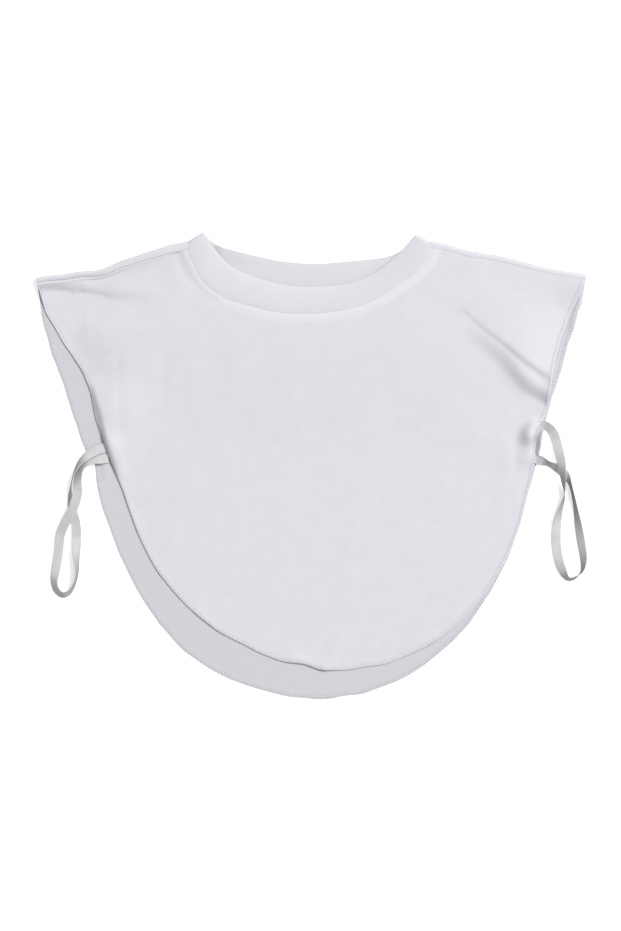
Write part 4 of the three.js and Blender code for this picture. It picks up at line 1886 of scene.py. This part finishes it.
BACK_ROWS = edge_rows((
    (-92.5, 159.5, -207.4, 128.3), (-81, 146.5, -200.8, 95.5), (-68, 139, -186.2, 53.6),
    (-56, 135.5, -171.5, 10), (-50.5, 134.7, -164.6, 1), (-45, 134, -162.5, -17.5),
    (-34.5, 133, -151.1, -54.5), (-24, 132, -128.8, -101.2), (-14, 131.5, -97.5, -140),
    (-4, 131.5, -54.7, -165.6), (5, 131.5, 3.5, -177.8), (14, 131.5, 58.3, -167.4),
    (24, 132, 97.6, -142.9), (34, 132.5, 126.2, -111.8), (43.5, 134, 151.4, -66.4),
    (54.5, 136, 167, -14), (60.5, 138, 172.8, 7), (66.5, 140.5, 176.8, 28), (78, 147.5, 189.5, 71.8),
    (89, 159.5, 205.2, 122.2),
))

# The folds, each as its route, its heights and its widths to the left and right.
FRONT_FOLDS = (
    Fold(
        ((120, 108), (137.3, 95.9), (152.5, 83), (164, 69.5), (179, 58.5)),
        (0.4, 2.6, 4.4, 5.4, 5.8), 34, 9.5,
    ),
    Fold(((112, 98), (130, 85), (146, 70), (158, 57), (172, 47)), (-0.2, -1, -1.6, -1.8, -1.8), 8, 30),
    Fold(((117, 113), (130, 101.5), (145, 90), (160, 77.5), (175, 66.5)), (-0.8, -2.3), 3, 11),
    Fold(((173.5, 33), (169, 28), (166, 22), (165, 14), (164.5, 6)), (2, 5.5, 6.8, 2.6, 1), 5, 6.5),
    Fold(((172, 4.6), (162, 6)), (1.2, 0.8), 6, 6),
    Fold(
        ((-180, 127), (-165, 125.6), (-149, 124.6), (-131, 123.4), (-112, 122)),
        (-0.6, -3.8, -4.2, -3.5, -2.8, -2.1, -1.4, -0.8, -0.3, 0), 6, 16,
    ),
    Fold(((-207, 128.2), (-196, 127.4), (-184, 127.4), (-172, 128)), (-4, -4.4, -3.6, -0.6), 8.5, 24),
    Fold(
        ((-186, 139), (-166, 141), (-150, 142.5), (-130, 147), (-103, 155.5)),
        (-0.3, -1.8, -1.9, -2, -0.8), 6, 20,
    ),
    Fold(((-102, 160), (-98.5, 150), (-92, 141), (-84, 133), (-74, 127)), (-0.5, -0.2), 3.5, 5),
    Fold(((-167, 64), (-158.5, 42), (-155, 24)), (0.4, 4.2, 3.6), 26, 5.5, 2.5),
    Fold(((-157, 16), (-138, 6)), (2.4, 0.5), 9, 9),
    Fold(((-152, 12), (-148.5, 2), (-143.5, -12)), (1, 2.2, 0.6), 6, 3.5),
    Fold(((-146.5, 86), (-146, 28)), (-0.25, -0.3), 4, 4),
    Fold(((-113, 84), (-113, 45)), (-0.2, -0.2), 4, 4),
    Fold(((34, -35), (28, -105)), (0.35, 0.35), 7, 9),
    Fold(((149.5, 14), (149, -10), (145, -45)), (0.7, 0.6, 0.4), 4, 8),
    Fold(((160, 2), (154, -30)), (0.4, 0.4), 4, 4),
    Fold(((22, -130), (12, -156)), (0.3, 0.9), 6, 5),
    Fold(((-86, -112), (-72, -126)), (0.4, 0.4), 5, 5),
    Fold(((-14, -148), (8, -152.5)), (0.9, 1.2), 5, 5),
    Fold(((-146, -20), (-134, -49)), (0.5, 0.5), 5, 5),
    Fold(((78, -139), (92, -131)), (0.5, 0.5), 6, 6),
)
BACK_FOLDS = (
    Fold(((177.8, 23), (176.6, 17), (175, 10)), (4.2, 6.2, 4.6), 4, 5),
    Fold(((-158, 8), (-156.3, -9)), (1.4, 0.4), 2.5, 2.5),
    Fold(((203.5, 124), (198.5, 108)), (1.6, 1.6), 3, 3.5),
)

# The loops' places, each as x, y, the height that it lies on and its roll in degrees.
LEFT_TAPE = (
    (-151, 13.6, 1.7, 0), (-158, 12.8, 1.8, 0), (-165.5, 10.2, 2.2, 8), (-171.8, 5.8, 2.1, 36),
    (-176.8, 0.6, 0.6, 62), (-180.4, -6.5, 0.1, 80), (-182.5, -16, 0.1, 80), (-183.2, -25, 0.1, 56),
    (-181.6, -34.5, 0.1, 22), (-179.2, -45, 0.1, 10), (-178.7, -57, 0.1, -6), (-178.8, -69, 0.1, -46),
    (-178.2, -80, 0.1, -72), (-179.8, -89.5, 0.1, -78), (-184, -96.6, 0.1, -64),
    (-189, -98.7, 0.1, -54), (-193.8, -95, 0.1, -50), (-195.6, -88, 0.1, -42), (-194.4, -79, 0.1, -14),
    (-192.4, -66, 0.1, 0), (-191, -53, 1.2, 0), (-186.4, -42.5, 4.6, 0), (-181, -33, 7.1, 0),
    (-177.8, -22, 6.9, -8), (-177.6, -11, 2.6, -34), (-175.4, -2.6, 0.9, -46), (-170.6, 2.6, 1.7, -38),
    (-165, 3.9, 1.8, -34), (-159.4, 4.5, 1.7, -12), (-154.5, 5.2, 1.7, 0),
)
RIGHT_TAPE = (
    (167, 22.6, 1.7, 0), (171.4, 27.6, 1.6, 2), (176, 30, 1.7, 8), (180.2, 28.6, 1.7, 28),
    (183.6, 24.6, 1.2, 18), (185.9, 19, 1, 8), (188.2, 9, 3.8, 12), (190, 0, 6.3, 34),
    (191, -8.5, 5, 54), (191.8, -15.5, 1.8, 74), (192.3, -21, 0.3, 90), (191.2, -27, 0.1, 108),
    (188.4, -36, 0.1, 128), (186.4, -46.5, 0.1, 164), (186, -58, 0.1, 180), (187.4, -69.5, 0.1, 188),
    (190.2, -79, 0.1, 208), (194.8, -86.2, 0.1, 246), (200.6, -85.4, 0.1, 256),
    (205.8, -80.2, 0.1, 284), (206.8, -71, 0.1, 312), (205.2, -60, 0.1, 324), (203.4, -49, 0.1, 320),
    (201.4, -37, 0.1, 300), (199.5, -26, 0.1, 286), (196.6, -14.5, 0.1, 288), (192.4, -6.8, 0.1, 332),
    (186.4, -2, 0.1, 322), (180, 1.2, 0.4, 302), (175, 3.2, 1.6, 334), (170.6, 4.6, 1.7, 360),
    (167.8, 5.4, 1.7, 360),
)


@dataclass
class HalfTop:
    """The whole garment, piece by piece."""

    maker: MeshMaker = field(default_factory=MeshMaker)

    def build_loops(self) -> None:
        """Makes the two elastic loops."""
        for name, node, length, rows in (
            ("left_loop", "elastic_loop_left", 0.262, LEFT_TAPE),
            ("right_loop", "elastic_loop_right", 0.256, RIGHT_TAPE),
        ):
            report(ElasticLoop(name, node, length, rows).build(self.maker))

    def build_panels(self) -> tuple[FrontPanel, BackPanel]:
        """Makes the two panels with their stitched edges.

        Returns:
            The front panel and the back panel.
        """
        front = FrontPanel(
            name="front_cloth",
            node="front_panel",
            rows=FRONT_ROWS,
            finish=FRONT_JERSEY,
            slot="front_jersey",
            flat=(0.418, 0.322),
            area=0.088,
            stations=400,
            inner_rows=84,
            folds=FRONT_FOLDS,
        )
        back = BackPanel(
            name="back_cloth",
            node="back_panel",
            rows=BACK_ROWS,
            finish=BACK_JERSEY,
            slot="back_jersey",
            flat=(0.42, 0.36),
            area=0.103,
            nicks=(((207.0, 128.0), 1.3, 5.0), ((202.0, 115.0), -0.7, 5.0)),
            folds=BACK_FOLDS,
        )
        for panel, thread, below in (
            (back, HemThread("back_hem_thread", back.slot, BACK_THREAD, seed=11, rim_reach=0.3), []),
            (front, HemThread("front_hem_thread", front.slot, FRONT_THREAD, seed=23), [back.name]),
        ):
            piece = panel.build(self.maker)
            stitches = thread.build(panel, self.maker)
            report(piece)
            report(stitches)
        return front, back

    def build(self) -> None:
        """Makes every piece, the loops first."""
        self.build_loops()
        front, back = self.build_panels()
        band = Neckband()
        piece = band.build(front, back, self.maker)
        report(piece)


def report(piece: bpy.types.Object) -> None:
    """Logs what a piece is made of."""
    log.info("%s: %d points, %d faces", piece.name, len(piece.data.vertices), len(piece.data.polygons))


def main() -> None:
    """Builds the camera, the studio and the garment."""
    logging.basicConfig(level=logging.INFO, format="%(message)s")
    PhotoCamera().build()
    Studio().build()
    HalfTop().build()


if __name__ == "__main__":
    main()
